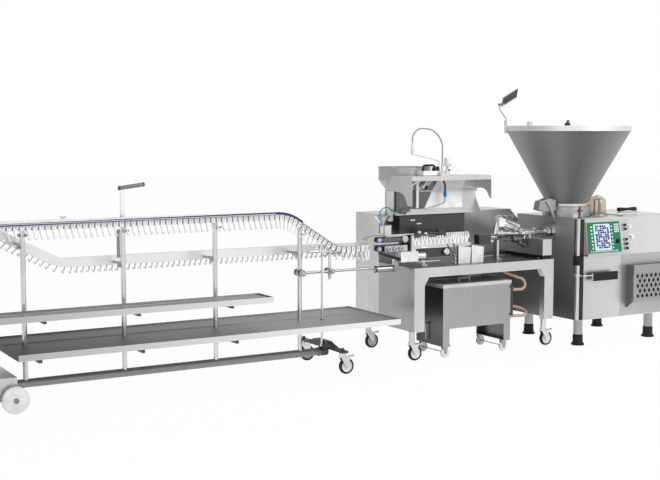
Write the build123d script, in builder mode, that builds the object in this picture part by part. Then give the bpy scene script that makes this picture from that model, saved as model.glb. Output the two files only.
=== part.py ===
"""Sausage filler coupled to its co-extrusion table and its hook line, in millimetres.

+X runs along the line towards the filler, +Y away from the operator and +Z up. The origin lies on the
floor under the middle of the line.
"""

import os
from math import cos, hypot, pi, radians, sin

from build123d import *

os.makedirs("parts", exist_ok=True)

# Sheet metal and fits
sheet = 3.0
running_gap = 0.5
shaft_clearance = 0.05
seat_gap = 0.3

# Filler casing
filler_left = 2065.0
filler_length = 1120.0
filler_front = -415.0
filler_depth = 830.0
filler_bottom = 220.0
filler_top = 1100.0
corner_notch = 60.0
column_radius = 18.0
column_inset = 30.0
column_collar = (708.0, 774.0)
column_collar_radius = 30.0
seam_x = 490.0
seam_width = 4.0
seam_depth = 1.5

# Filler feet
foot_inset_x = 50.0
foot_spacing_x = 835.0
foot_inset_y = 47.0
foot_spacing_y = 655.0
foot_tube_radius = 40.0
boot_radius = 57.5
boot_height = 95.0

# Pump casting, screws and hopper
pump_x = 2250.0
pump_y = -45.0
outlet_height = 970.0
collar_radius = 188.0
throat_radius = 150.0
collar_top = 1203.0
barrel_length = 470.0
barrel_wall = 14.0
screw_spacing = 100.0
screw_radius = 58.0
screw_core = 38.0
screw_pitch = 90.0
flight_width = 14.0
outlet_radius = 95.0
hopper_wall = 3.0
hopper_neck_radius = 172.0
hopper_flange = 24.0
hopper_flange_height = 12.0
hopper_rim_radius = 535.0
hopper_rim_bottom = 1850.0
hopper_rim_top = 1895.0
hopper_rim_band = 6.0
hopper_hinge_reach = 26.0
hinge_pin_radius = 8.0
auger_radius = 134.0
auger_top_radius = 58.0
auger_pitch = 130.0
auger_bottom = 1062.0
auger_top = 1400.0
auger_shaft = 20.0
auger_flight = 7.0
auger_pin_radius = 12.0
auger_pin_length = 22.0

# Filler front and top fittings
panel_left = 2128.0
panel_width = 490.0
panel_bottom = 775.0
panel_height = 300.0
panel_stand_out = 55.0
stop_button_at = (2644.0, 1013.0)
start_button_at = (2676.0, 923.0)
button_radius = 17.0
button_travel = 4.0
knee_ring_height = 24.0
knee_ring_z = 600.0
knee_pad_x = (2185.0, 2470.0)
knee_pad_height = 72.0
knee_pad_gap = 38.0
knee_pad_thickness = 20.0
step_left = 2632.0
step_width = 484.0
step_bottom = 350.0
step_height = 325.0
step_stand_out = 72.0
step_lean = 20.0
step_sheet = 4.0
step_hole_pitch = (44.0, 48.0)
step_hole = 13.0
lid_left = 2655.0
lid_length = 490.0
lid_front = -330.0
lid_depth = 560.0
lid_thickness = 6.0
lid_well_depth = 60.0
dome_at = (2535.0, -125.0)
dome_radius = 88.0
dome_height = 168.0
dome_wall = 5.0

# Mirror on the hopper's rim
mirror_clamp_angle = 151.0
mirror_post_height = 52.0
mirror_arm_radius = 6.0
mirror_elbow = (-66.0, 0.0, 176.0)
mirror_size = (270.0, 180.0)
mirror_thickness = 8.0
mirror_tilt = 30.0

# Table
table_left = 440.0
table_length = 1445.0
table_front = -305.0
table_depth = 530.0
table_top = 757.0
table_bottom = 240.0
leg_width = 100.0
beam_height = 78.0
corner_cut = 70.0
channel_depth = 60.0
wall_height = 138.0
wall_thickness = 100.0
wall_pad = 30.0
cabinet_depth = 364.5
cabinet_top = 1160.0
cabinet_overhang = 31.0
cabinet_slope = 92.0

# Filling pipe and co-extrusion head
pipe_radius = 28.0
pipe_bore = 22.0
head_left = 1284.0
head_right = 1500.0
union_nuts = ((1715.0, 34.0, 36.0), (1850.0, 36.0, 38.0), (1985.0, 50.0, 46.0))
lever_x = 1768.0

# Gel hopper and hood
gel_at = (783.0, 358.0)
gel_radius = 222.0
gel_rim = 1545.0
gel_cylinder_bottom = 1436.0
gel_neck_radius = 62.0
gel_neck_top = 1214.0
gel_wall = 2.5
hood_left = 545.0
hood_length = 810.0
hood_front = -105.0
hood_top = 1480.0
hood_lip = 37.0
hood_back = 108.0
guard_beam = (1155.0, 1181.0)
guard_left = 560.0
guard_length = 665.0
guard_bottom = 990.0
guard_thickness = 5.0

# Linker
linker_y = -125.0
belt_width = 50.0
belt_left = 185.0
belt_length = 295.0
belt_wheel_radius = 20.0
belt_thickness = 3.0
belt_middle = 947.0
belt_gap = 26.0
cup_left = 528.0
cup_pitch = 40.0
cup_count = 14
cup_size = (32.0, 22.0, 46.0)
cup_gap = 14.0

# Castors: wheel radius, width, trail and fork sheet
castor_radius = 62.5
castor_width = 30.0
castor_trail = 32.0
castor_crown = 5.0
table_castor_x = (458.0, 1828.0)
table_castor_y = (-242.0, 411.0)
small_castor_radius = 42.0
small_castor_width = 22.0
axle_radius = 6.0

# Brine tank
tank_left = 730.0
tank_length = 695.0
tank_front = -295.0
tank_depth = 380.0
tank_bottom = 240.0
tank_top = 592.0
tank_leg = 66.0
tank_castor_inset = 46.0
hose_radius = 13.0

# Hook line
line_y = -105.0
base_height = 130.0
base_radius = 30.0
base_left = -2765.0
base_right = -325.0
post_radius = 18.0
first_post = -2635.0
post_spacing = 713.0
post_count = 4
rail_height = 1225.0
low_rail_height = 951.0
rail_width = 40.0
rail_plate_width = 125.0
rail_thickness = 6.0
front_run_y = -165.0
return_run_y = 105.0
drive_x = -3026.0
idler_x = 15.0
slope_top_x = -625.0
slope_foot_x = -198.0
slope_top_bend = 330.0
slope_foot_bend = 260.0
return_bend_x = -2312.0
return_rise_x = -2845.0
return_bend = 220.0
return_strip = 64.0
link_pitch = 44.0
link_width = 24.0
link_height = 44.0
link_slot = 10.0
link_slot_depth = 16.0
hook_lean = 41.0
hook_thickness = 6.0
hook_shape = ((0.0, 34.0), (30.0, 114.0), (41.0, 82.0), (30.0, 97.0), (9.0, 34.0))
upper_tray_x = (-2925.0, -860.0)
upper_tray_y = (-375.0, -126.0)
upper_tray_z = 620.0
lower_tray_x = (-2785.0, 185.0)
lower_tray_half = 390.0
lower_tray_z = 388.0
tray_lip = 12.0
tray_flange = 30.0
tray_sheet = 2.5
axle_box_x = (-3065.0, -2765.0)
axle_box_half = 270.0
axle_box_z = (80.0, 235.0)
plain_wheel_radius = 92.0
plain_wheel_width = 38.0
plain_wheel_x = -2790.0
through_axle_radius = 12.0
shaft_radius = 15.0
line_wheel_half = 306.0
bogie_x = -290.0
bogie_width = 50.0
bogie_bottom = 168.0
tie_height = 762.0
crank_height = 232.0
crank_reach = 190.0

# Worked out from the sizes above
filler_right = filler_left + filler_length
filler_back = filler_front + filler_depth
table_right = table_left + table_length
table_back = table_front + table_depth
cabinet_back = table_back + cabinet_depth
hood_right = hood_left + hood_length
column_at = (filler_left + column_inset - 10, filler_front + column_inset)
hopper_bottom = collar_top + seat_gap
hopper_hinge_y = pump_y + hopper_neck_radius + hopper_flange + hopper_hinge_reach
hopper_hinge_z = hopper_bottom + hopper_flange_height / 2
post_x = [first_post + i * post_spacing for i in range(post_count)]
turn_radius = (return_run_y - front_run_y) / 2
turn_y = (return_run_y + front_run_y) / 2
cover_radius = filler_right + drive_x


def keep(piece, name):
    """Name a finished piece and write it to its own file."""
    piece.part.label = name
    export_step(piece.part, f"parts/{name}.step")


def block(x, y, z, mode=Mode.ADD):
    """A box between the two ends given for each direction."""
    with Locations(((x[0] + x[1]) / 2, (y[0] + y[1]) / 2, (z[0] + z[1]) / 2)):
        Box(x[1] - x[0], y[1] - y[0], z[1] - z[0], mode=mode)


def face_of(plane, points):
    """The closed outline through the points, as a face on the plane."""
    with BuildSketch(plane) as outline:
        with BuildLine():
            Polyline(*points, close=True)
        make_face()
    return outline.sketch


def end_prism(points, x, mode=Mode.ADD):
    """An outline of (y, z) points carried along X."""
    extrude(face_of(Plane.YZ.offset(x[0]), points), amount=x[1] - x[0], mode=mode)


def side_prism(points, y, mode=Mode.ADD):
    """An outline of (x, z) points carried along Y."""
    extrude(face_of(Plane.XZ.offset(-y[1]), points), amount=y[1] - y[0], mode=mode)


def bar(start, end, radius, mode=Mode.ADD):
    """A round bar from start to end."""
    run = Vector(*end) - Vector(*start)
    with Locations(Plane(origin=start, z_dir=run)):
        Cylinder(radius, run.length, align=(Align.CENTER, Align.CENTER, Align.MIN), mode=mode)


def facet_bar(start, end, radius, sides=8, mode=Mode.ADD):
    """A bar with flat sides, as a nut or a small knob has."""
    run = Vector(*end) - Vector(*start)
    with BuildSketch(Plane(origin=start, z_dir=run)) as outline:
        RegularPolygon(radius, sides)
    extrude(outline.sketch, amount=run.length, mode=mode)


def bent_bar(points, bend, radius):
    """A round bar along straight runs joined by arcs."""
    with BuildLine() as route:
        FilletPolyline(*points, radius=bend)
    with BuildSketch(Plane(origin=route.line @ 0, z_dir=route.line % 0)) as section:
        Circle(radius)
    sweep(section.sketch, path=route.line)


def turned(points, centre, mode=Mode.ADD):
    """An outline of (radius, height) points turned about the upright axis through centre."""
    plane = Plane(origin=(centre[0], centre[1], 0), x_dir=(1, 0, 0), z_dir=(0, -1, 0))
    revolve(face_of(plane, points), axis=Axis((centre[0], centre[1], 0), (0, 0, 1)), mode=mode)


def flight(origin, axis, start, turns, pitch, inner, outer, end_outer, width, hand=1, steps=12):
    """A screw flight as a ruled strip: a radial bar turned by equal steps along its axis."""
    along = Vector(*axis)
    side = Vector(0, 1, 0) if abs(along.X) > 0.5 else Vector(1, 0, 0)
    third = along.cross(side)
    count = round(turns * steps)
    sections = []
    for i in range(count + 1):
        angle = start + hand * 2 * pi * i / steps
        spoke = side * cos(angle) + third * sin(angle)
        place = Vector(*origin) + along * (pitch * i / steps)
        reach = outer + (end_outer - outer) * max(0.0, 2 * i / count - 1)
        with BuildSketch(Plane(origin=place, x_dir=spoke, z_dir=along.cross(spoke))) as bar_end:
            with Locations(((inner + reach) / 2, 0)):
                Rectangle(reach - inner, width)
        sections.append(bar_end.sketch.face())
    loft(sections, ruled=True)


def castor_fork(stem, plate_z, radius, width, trail, spacer):
    """Swivel fork: spacer and head above, crown, two tapered cheeks, axle and brake pedal."""
    x, y = stem
    wheel_x = x + trail
    crown_z = 2 * radius + 6
    head = radius * 0.45
    if spacer:
        bar((x, y, crown_z + castor_crown + 18), (x, y, plate_z), head * 0.85)
    head_top = crown_z + castor_crown + 18 if spacer else plate_z
    bar((x, y, crown_z), (x, y, head_top), head)
    half = width / 2 + 2.5
    block((x - head, wheel_x + head * 0.8), (y - half - sheet, y + half + sheet),
          (crown_z, crown_z + castor_crown))
    cheek = ((x - head * 0.8, crown_z + 1), (wheel_x + head * 0.8, crown_z + 1), (wheel_x + 11, radius - 6),
             (wheel_x, radius - 12), (wheel_x - 11, radius - 6))
    for inner_y in (y - half - sheet, y + half):
        side_prism(cheek, (inner_y, inner_y + sheet))
    bar((wheel_x, y - half - sheet - 3, radius), (wheel_x, y + half + sheet + 3, radius), axle_radius)
    side_prism(((wheel_x + head * 0.4, crown_z + 1), (wheel_x + head * 0.4, crown_z + castor_crown),
                (wheel_x + radius * 0.95, crown_z + castor_crown + 4),
                (wheel_x + radius * 1.05, crown_z + 12),
                (wheel_x + radius, crown_z - 4)), (y - 13, y + 13))


def castor_wheel(centre_x, centre_y, radius, width, bore):
    """Plain-bored wheel with its rim standing out round a flat disc."""
    bar((centre_x, centre_y - width / 2, radius), (centre_x, centre_y + width / 2, radius), radius)
    rim = radius * 0.74
    recess = width * 0.14
    bar((centre_x, centre_y - width / 2, radius), (centre_x, centre_y - width / 2 + recess, radius), rim,
        mode=Mode.SUBTRACT)
    bar((centre_x, centre_y - width / 2, radius), (centre_x, centre_y + width / 2, radius), bore,
        mode=Mode.SUBTRACT)


def run_route(points, bends):
    """Centre line of a chain run, from left to right, under its rail."""
    with BuildLine() as route:
        FilletPolyline(*[(x, 0, z) for x, z in points], radius=bends)
    return route.wire()


def under(route, distance, drop):
    """Point (x, z) square below the route at a distance along it."""
    place = route.position_at(distance, position_mode=PositionMode.LENGTH)
    way = route.tangent_at(distance, position_mode=PositionMode.LENGTH)
    return (place.X + drop * way.Z, place.Z - drop * way.X)


def stations(route):
    """Distances along the route that a faceted strip needs: its ends and steps in its bends."""
    steps = max(1, round(route.length / link_pitch))
    step = route.length / steps
    kept = [0.0]
    for i in range(1, steps):
        before, after = (route.tangent_at((i + k) * step,
                                          position_mode=PositionMode.LENGTH) for k in (-1, 1))
        if (before - after).length > 0.001:
            kept.append(i * step)
    return kept + [route.length]


def strip(route, drops, y):
    """A strip that follows the route between two drops."""
    marks = stations(route)
    upper = [under(route, mark, drops[0]) for mark in marks]
    lower = [under(route, mark, drops[1]) for mark in reversed(marks)]
    side_prism(upper + lower, y)


def chain_run(route, middle_y, lean):
    """Links in a row, each a block with a thin hook that leans to one side."""
    count = round(route.length / link_pitch)
    pitch = route.length / count
    half_gap = link_slot / 2
    top = [under(route, mark, seat_gap) for mark in stations(route)]
    blocks = [under(route, 0, link_height - link_slot_depth)]
    hooks = []
    for i in range(count):
        start = i * pitch
        blocks += [under(route, start + half_gap, link_height - link_slot_depth),
                   under(route, start + half_gap, link_height),
                   under(route, start + pitch - half_gap, link_height),
                   under(route, start + pitch - half_gap, link_height - link_slot_depth)]
        root = start + pitch / 2 - lean * hook_lean / 2
        for along, drop in hook_shape[::lean]:
            hooks.append(under(route, root + lean * along, drop))
    blocks.append(under(route, route.length, link_height - link_slot_depth))
    side_prism(top + blocks[::-1], (middle_y - link_width / 2, middle_y + link_width / 2))
    spine = [under(route, mark, link_height / 3) for mark in stations(route)]
    side_prism(spine + hooks[::-1], (middle_y - hook_thickness / 2, middle_y + hook_thickness / 2))


def chain_turn(centre, first_angle, top_z):
    """Half turn of the chain round a wheel, with blocks and hooks square to it."""
    x, y = centre
    rim = turn_radius - link_width / 2
    count = round(pi * turn_radius / link_pitch)
    with BuildSketch(Plane.XY.offset(top_z - link_height + link_slot_depth)) as band:
        with Locations((x, y)):
            Circle(rim + link_width)
            Circle(rim, mode=Mode.SUBTRACT)
            with Locations((-turn_radius * cos(radians(first_angle + 90)), 0)):
                Rectangle(2 * turn_radius, 4 * turn_radius, mode=Mode.SUBTRACT)
    extrude(band.sketch, amount=link_height - link_slot_depth - seat_gap)
    for i in range(count):
        angle = first_angle + (i + 0.5) * 180 / count
        with Locations(Location((x, y, top_z), (0, 0, angle))):
            with Locations((turn_radius, 0, -link_height + link_slot_depth / 2)):
                Box(link_width - 2, link_pitch - link_slot, link_slot_depth)
        across = Vector(-sin(radians(angle)), cos(radians(angle)), 0)
        out = Vector(cos(radians(angle)), sin(radians(angle)), 0)
        origin = Vector(x, y, top_z) + out * (turn_radius + hook_thickness / 2) - across * (hook_lean / 2)
        extrude(face_of(Plane(origin=origin, x_dir=across, z_dir=out * -1),
                        [(along, drop) for along, drop in hook_shape]), amount=hook_thickness)


def tray(x, y, top, ridges):
    """Sheet tray: lip above and flange below along both edges, folded ridges between, closed ends."""
    low = top - tray_flange
    high = top + tray_lip
    under_side = top - tray_sheet
    outline = [(y[0], low), (y[0] + tray_sheet, low), (y[0] + tray_sheet, under_side),
               (y[1] - tray_sheet, under_side), (y[1] - tray_sheet, low), (y[1], low), (y[1], high),
               (y[1] - tray_sheet, high), (y[1] - tray_sheet, top)]
    for ridge_y in ridges:
        outline += [(ridge_y + 8, top), (ridge_y, top + 6), (ridge_y - 8, top)]
    outline += [(y[0] + tray_sheet, top), (y[0] + tray_sheet, high), (y[0], high)]
    end_prism(outline, x)
    for end_x in (x[0], x[1] - tray_sheet):
        block((end_x, end_x + tray_sheet), y, (low, high))


# Filler casing: sheet-metal box with a recessed front corner, column, feet tubes and lid well
with BuildPart() as filler_housing:
    block((filler_left, filler_right), (filler_front, filler_back), (filler_bottom, filler_top))
    inner_x = (filler_left + sheet, filler_right - sheet)
    inner_y = (filler_front + sheet, filler_back - sheet)
    inner_z = (filler_bottom + sheet, filler_top - sheet)
    notch_x = filler_left + corner_notch
    notch_y = filler_front + corner_notch
    block((notch_x + sheet, inner_x[1]), inner_y, inner_z, mode=Mode.SUBTRACT)
    block((inner_x[0], notch_x + sheet), (notch_y + sheet, inner_y[1]), inner_z, mode=Mode.SUBTRACT)
    block((filler_left, notch_x), (filler_front, notch_y), inner_z, mode=Mode.SUBTRACT)
    column_foot = (*column_at, filler_bottom + sheet)
    bar(column_foot, (*column_at, filler_top - sheet), column_radius)
    bar((*column_at, column_collar[0]), (*column_at, column_collar[1]), column_collar_radius)
    seam_right = filler_left + seam_x
    groove = (filler_front, filler_front + seam_depth)
    block((seam_right, seam_right + seam_width), groove, (filler_bottom, panel_bottom), mode=Mode.SUBTRACT)
    well_x = (lid_left + 2 * sheet + 20, lid_left + lid_length - 2 * sheet - 20)
    well_y = (lid_front + 2 * sheet + 20, lid_front + lid_depth - 2 * sheet - 20)
    well_z = (filler_top - lid_well_depth, filler_top)
    block((well_x[0] - sheet, well_x[1] + sheet), (well_y[0] - sheet, well_y[1] + sheet),
          (well_z[0] - sheet, filler_top))
    block(well_x, well_y, well_z, mode=Mode.SUBTRACT)
    for foot_x in (filler_left + foot_inset_x, filler_left + foot_inset_x + foot_spacing_x):
        for foot_y in (filler_front + foot_inset_y, filler_front + foot_inset_y + foot_spacing_y):
            bar((foot_x, foot_y, boot_height), (foot_x, foot_y, filler_bottom), foot_tube_radius)
    # Cheeks that carry the folding step
    for cheek_x in (step_left - sheet - seat_gap, step_left + step_width + seat_gap):
        top_out = filler_front - step_stand_out - step_lean
        end_prism(((filler_front, step_bottom - 54), (filler_front, step_bottom + step_height),
                   (top_out, step_bottom + step_height), (filler_front - step_stand_out, step_bottom - 4),
                   (filler_front - 12, step_bottom - 54)), (cheek_x, cheek_x + sheet))
    # Bezels of the push buttons and the way in for their stems
    for button_x, button_z in (stop_button_at, start_button_at):
        bezel = filler_front - 10
        bar((button_x, filler_front, button_z), (button_x, bezel, button_z), button_radius + 5)
        bar((button_x, filler_front, button_z), (button_x, bezel, button_z), button_radius + running_gap,
            mode=Mode.SUBTRACT)
        bar((button_x, filler_front - 1, button_z), (button_x, filler_front + 2 * sheet, button_z), 6.5,
            mode=Mode.SUBTRACT)
    # Ways through for the pump casting: up to the hopper and out to the pipe
    bar((pump_x, pump_y, filler_top - 2 * sheet), (pump_x, pump_y, filler_top + sheet),
        throat_radius + barrel_wall + seat_gap, mode=Mode.SUBTRACT)
    bar((filler_left - sheet, pump_y, outlet_height), (filler_left + 2 * sheet, pump_y, outlet_height),
        screw_radius + barrel_wall + seat_gap, mode=Mode.SUBTRACT)
keep(filler_housing, "filler_housing")

# Rubber boots on the feet
with BuildPart() as foot_boots:
    for foot_x in (filler_left + foot_inset_x, filler_left + foot_inset_x + foot_spacing_x):
        for foot_y in (filler_front + foot_inset_y, filler_front + foot_inset_y + foot_spacing_y):
            turned(((0, 0), (boot_radius, 0), (boot_radius, 12), (foot_tube_radius + 4, 40),
                    (foot_tube_radius + 4, boot_height), (0, boot_height)), (foot_x, foot_y))
keep(foot_boots, "foot_boots")

# Pump casting: collar and throat above, double barrel inside, outlet neck and flange on the left
barrel_left = filler_left + 30
barrel_right = barrel_left + barrel_length
bore_radius = screw_radius + running_gap
with BuildPart() as pump_casting:
    half_width = screw_spacing / 2 + bore_radius + barrel_wall
    half_height = bore_radius + barrel_wall
    block((barrel_left, barrel_right), (pump_y - half_width, pump_y + half_width),
          (outlet_height - half_height, outlet_height + half_height))
    outlet_end = filler_left - 24
    bar((barrel_left, pump_y, outlet_height), (outlet_end, pump_y, outlet_height),
        screw_radius + barrel_wall)
    bar((filler_left - seat_gap, pump_y, outlet_height), (outlet_end, pump_y, outlet_height), outlet_radius)
    bar((pump_x, pump_y, outlet_height), (pump_x, pump_y, filler_top + 1), throat_radius + barrel_wall)
    bar((pump_x, pump_y, filler_top + seat_gap), (pump_x, pump_y, collar_top), collar_radius)
    band_z = collar_top - 42
    bar((pump_x, pump_y, band_z), (pump_x, pump_y, band_z + 16), collar_radius + 5)
    bar((pump_x, pump_y, auger_bottom - 8), (pump_x, pump_y, collar_top), throat_radius, mode=Mode.SUBTRACT)
    for side in (-1, 1):
        screw_y = pump_y + side * screw_spacing / 2
        bar((barrel_left + 20, screw_y, outlet_height), (barrel_right - 20, screw_y, outlet_height),
            bore_radius, mode=Mode.SUBTRACT)
        bar((barrel_right - 20, screw_y, outlet_height), (barrel_right, screw_y, outlet_height),
            auger_shaft + shaft_clearance, mode=Mode.SUBTRACT)
    bar((outlet_end, pump_y, outlet_height), (barrel_left + 20, pump_y, outlet_height), pipe_bore,
        mode=Mode.SUBTRACT)
    bar((pump_x, pump_y, outlet_height + 40), (pump_x, pump_y, auger_bottom - 8), screw_radius,
        mode=Mode.SUBTRACT)
    # Bridge across the way down, with the pin that carries the feeding screw
    bridge_z = auger_bottom - 8
    block((pump_x - screw_radius - 4, pump_x + screw_radius + 4), (pump_y - 14, pump_y + 14),
          (bridge_z - 16, bridge_z))
    bar((pump_x, pump_y, bridge_z), (pump_x, pump_y, bridge_z + auger_pin_length), auger_pin_radius)
    # Hinge ears behind the hopper and the lock block on its left
    ear_z = (collar_top - 30, hopper_hinge_z + hinge_pin_radius + 8)
    for side in (-1, 1):
        ear_x = pump_x + side * 56
        block((ear_x - 10, ear_x + 10), (pump_y + collar_radius - 30, hopper_hinge_y + 14), ear_z)
    bar((pump_x - 56, hopper_hinge_y, hopper_hinge_z), (pump_x + 56, hopper_hinge_y, hopper_hinge_z),
        hinge_pin_radius)
    bar((pump_x, pump_y, hopper_bottom - seat_gap), (pump_x, pump_y, ear_z[1] + 5),
        hopper_neck_radius + hopper_flange + 9, mode=Mode.SUBTRACT)
    lock_right = pump_x - hopper_neck_radius - hopper_flange - 6
    lock_y = (pump_y - 86, pump_y - 14)
    side_prism(((pump_x - collar_radius + 20, 1160), (pump_x - collar_radius + 20, collar_top - 12),
                (lock_right, collar_top - 12), (lock_right, collar_top + 45),
                (lock_right - 80, collar_top + 62), (lock_right - 175, collar_top + 40),
                (lock_right - 195, 1168), (lock_right - 130, 1150)), lock_y)
keep(pump_casting, "pump_casting")

# Hopper: turned cone with a flanged neck, a banded rim and a hinge lug behind
with BuildPart() as hopper:
    slope = (hopper_rim_radius - hopper_neck_radius) / (hopper_rim_bottom - hopper_bottom)
    skin = hopper_wall * hypot(1, slope)
    flange_top = hopper_bottom + hopper_flange_height
    at_flange = hopper_neck_radius + slope * hopper_flange_height
    turned(((hopper_neck_radius, hopper_bottom), (hopper_neck_radius + hopper_flange, hopper_bottom),
            (hopper_neck_radius + hopper_flange, flange_top), (at_flange + skin, flange_top),
            (hopper_rim_radius + skin, hopper_rim_bottom),
            (hopper_rim_radius + skin + hopper_rim_band, hopper_rim_bottom),
            (hopper_rim_radius + skin + hopper_rim_band, hopper_rim_top),
            (hopper_rim_radius, hopper_rim_top), (hopper_rim_radius, hopper_rim_bottom)), (pump_x, pump_y))
    lug_y = pump_y + hopper_neck_radius + hopper_flange
    block((pump_x - 45, pump_x + 45), (lug_y - 6, hopper_hinge_y), (hopper_bottom, flange_top))
    bar((pump_x - 45, hopper_hinge_y, hopper_hinge_z), (pump_x + 45, hopper_hinge_y, hopper_hinge_z),
        hinge_pin_radius + 7)
    bar((pump_x - 46, hopper_hinge_y, hopper_hinge_z), (pump_x + 46, hopper_hinge_y, hopper_hinge_z),
        hinge_pin_radius + 0.1, mode=Mode.SUBTRACT)
    # Level stop on the far rim
    rim_back = pump_y + hopper_rim_radius + skin
    block((pump_x - 20, pump_x + 20), (rim_back - 30, rim_back), (hopper_rim_top, hopper_rim_top + 42))
    # Post that holds the mirror arm, on the rim's left
    clamp_reach = hopper_rim_radius + skin + hopper_rim_band + 10
    clamp_x = pump_x + clamp_reach * cos(radians(mirror_clamp_angle))
    clamp_y = pump_y + clamp_reach * sin(radians(mirror_clamp_angle))
    clamp_bottom = hopper_rim_bottom - 22
    bar((clamp_x, clamp_y, clamp_bottom), (clamp_x, clamp_y, hopper_rim_top), 13)
keep(hopper, "hopper")

# Lever that locks the hopper down, turning on a pin at the front of the lock block
lock_pivot_x = lock_right - 92
lock_pivot_z = collar_top + 26
lever_y = (lock_y[0] - 12 - seat_gap, lock_y[0] - seat_gap)
with BuildPart() as lock_lever:
    bar((lock_pivot_x, lever_y[1], lock_pivot_z), (lock_pivot_x, lever_y[0], lock_pivot_z), 20)
    side_prism(((lock_pivot_x - 12, lock_pivot_z), (lock_pivot_x + 12, lock_pivot_z + 10),
                (lock_pivot_x + 60, lock_pivot_z - 90), (lock_pivot_x + 88, lock_pivot_z - 168),
                (lock_pivot_x + 66, lock_pivot_z - 172), (lock_pivot_x + 40, lock_pivot_z - 96)), lever_y)
keep(lock_lever, "lock_lever")

# Feeding screw in the hopper's neck
with BuildPart() as feed_auger:
    bar((pump_x, pump_y, bridge_z + seat_gap), (pump_x, pump_y, auger_top + 14), auger_shaft)
    auger_turns = (auger_top - auger_bottom - auger_flight) / auger_pitch
    flight((pump_x, pump_y, auger_bottom + auger_flight / 2), (0, 0, 1), 0, auger_turns, auger_pitch,
           auger_shaft - 6, auger_radius, auger_top_radius, auger_flight, steps=10)
    bar((pump_x, pump_y, bridge_z), (pump_x, pump_y, bridge_z + auger_pin_length + seat_gap),
        auger_pin_radius + shaft_clearance, mode=Mode.SUBTRACT)
keep(feed_auger, "feed_auger")

# Pair of meshing feed screws, opposite hands, one flight in the other's gap
for side, screw_name in ((-1, "front_screw"), (1, "rear_screw")):
    screw_y = pump_y + side * screw_spacing / 2
    screw_left = barrel_left + 20 + running_gap
    screw_turns = 4
    with BuildPart() as screw:
        bar((screw_left, screw_y, outlet_height), (barrel_right - 20 - running_gap, screw_y, outlet_height),
            screw_core)
        bar((barrel_right - 40, screw_y, outlet_height), (barrel_right + 30, screw_y, outlet_height),
            auger_shaft)
        flight((screw_left + flight_width / 2 + 2, screw_y, outlet_height), (1, 0, 0),
               0, screw_turns, screw_pitch, screw_core - 6,
               screw_radius, screw_radius, flight_width, hand=-side, steps=10)
    keep(screw, screw_name)

# Service lid with hinge barrel behind and a black grip on bent legs
lid_right = lid_left + lid_length
lid_back = lid_front + lid_depth
lid_bottom = filler_top + seat_gap
with BuildPart() as top_lid:
    block((lid_left, lid_right), (lid_front, lid_back), (lid_bottom, lid_bottom + lid_thickness))
    bar((lid_left + 40, lid_back, lid_bottom + 8), (lid_right - 40, lid_back, lid_bottom + 8), 8)
    grip_y = lid_front + 104
    grip_z = lid_bottom + lid_thickness + 28
    legs = (lid_left + 18, lid_left + 270)
    bent_bar(((legs[0], grip_y, lid_bottom + 1), (legs[0], grip_y, grip_z), (legs[1], grip_y, grip_z),
              (legs[1], grip_y, lid_bottom + 1)), 18, 5)
    bar((legs[0] + 26, grip_y, grip_z), (legs[1] - 26, grip_y, grip_z), 15)
keep(top_lid, "top_lid")

# Glass dome of the vacuum pot
with BuildPart() as vacuum_dome:
    shoulder = filler_top + dome_height - dome_radius
    base = filler_top + seat_gap
    turned(((0, filler_top + dome_height), (dome_radius * 0.5, filler_top + dome_height - 12),
            (dome_radius * 0.87, shoulder + 38), (dome_radius, shoulder - 6), (dome_radius, base + 12),
            (dome_radius + 12, base + 12), (dome_radius + 12, base), (dome_radius - dome_wall, base),
            (dome_radius - dome_wall, shoulder - 6), (dome_radius * 0.8, shoulder + 34),
            (dome_radius * 0.45, filler_top + dome_height - 12 - dome_wall),
            (0, filler_top + dome_height - dome_wall)), dome_at)
keep(vacuum_dome, "vacuum_dome")

# Control panel: wedge case that stands out at the bottom, with a strip of small knobs
panel_right = panel_left + panel_width
panel_top = panel_bottom + panel_height
panel_face_y = filler_front - panel_stand_out
with BuildPart() as control_panel:
    end_prism(((filler_front, panel_top), (filler_front - 8, panel_top), (panel_face_y, panel_bottom + 16),
               (panel_face_y + 8, panel_bottom), (filler_front, panel_bottom)), (panel_left, panel_right))
    lean = (panel_stand_out - 8) / (panel_height - 16)
    for knob_z in (panel_top - 46, panel_top - 80, panel_top - 170, panel_top - 208, panel_top - 246):
        knob_x = panel_right - 48
        knob_y = filler_front - 8 - lean * (panel_top - knob_z)
        facet_bar((knob_x, knob_y + 4, knob_z), (knob_x, knob_y - 12, knob_z), 10)
keep(control_panel, "control_panel")

# Push buttons, each a cap on a stem that slides in its bezel
for button_name, (button_x, button_z) in (("stop_button", stop_button_at),
                                          ("start_button", start_button_at)):
    with BuildPart() as button:
        cap_back = filler_front - button_travel - 1
        bar((button_x, cap_back, button_z), (button_x, cap_back - 14, button_z), button_radius)
        bar((button_x, cap_back, button_z), (button_x, filler_front + sheet, button_z), 6)
    keep(button, button_name)

# Knee lever: ring on the corner column, bent rod and rubber pad across the front
with BuildPart() as knee_lever:
    pad_y = filler_front - knee_pad_gap
    ring = ((*column_at, knee_ring_z), (*column_at, knee_ring_z + knee_ring_height))
    bar(*ring, column_radius + 11)
    rod_z = knee_ring_z + knee_ring_height / 2
    pad_mid = pad_y - knee_pad_thickness / 2
    bent_bar(((column_at[0], column_at[1] - column_radius - 6, rod_z), (column_at[0], pad_mid, rod_z),
              (knee_pad_x[0] + 10, pad_mid, rod_z)), 20, 6)
    block(knee_pad_x, (pad_y - knee_pad_thickness, pad_y), (rod_z - knee_pad_height * 0.7,
          rod_z + knee_pad_height * 0.3))
    bar(*ring, column_radius + shaft_clearance, mode=Mode.SUBTRACT)
keep(knee_lever, "knee_lever")

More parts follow.
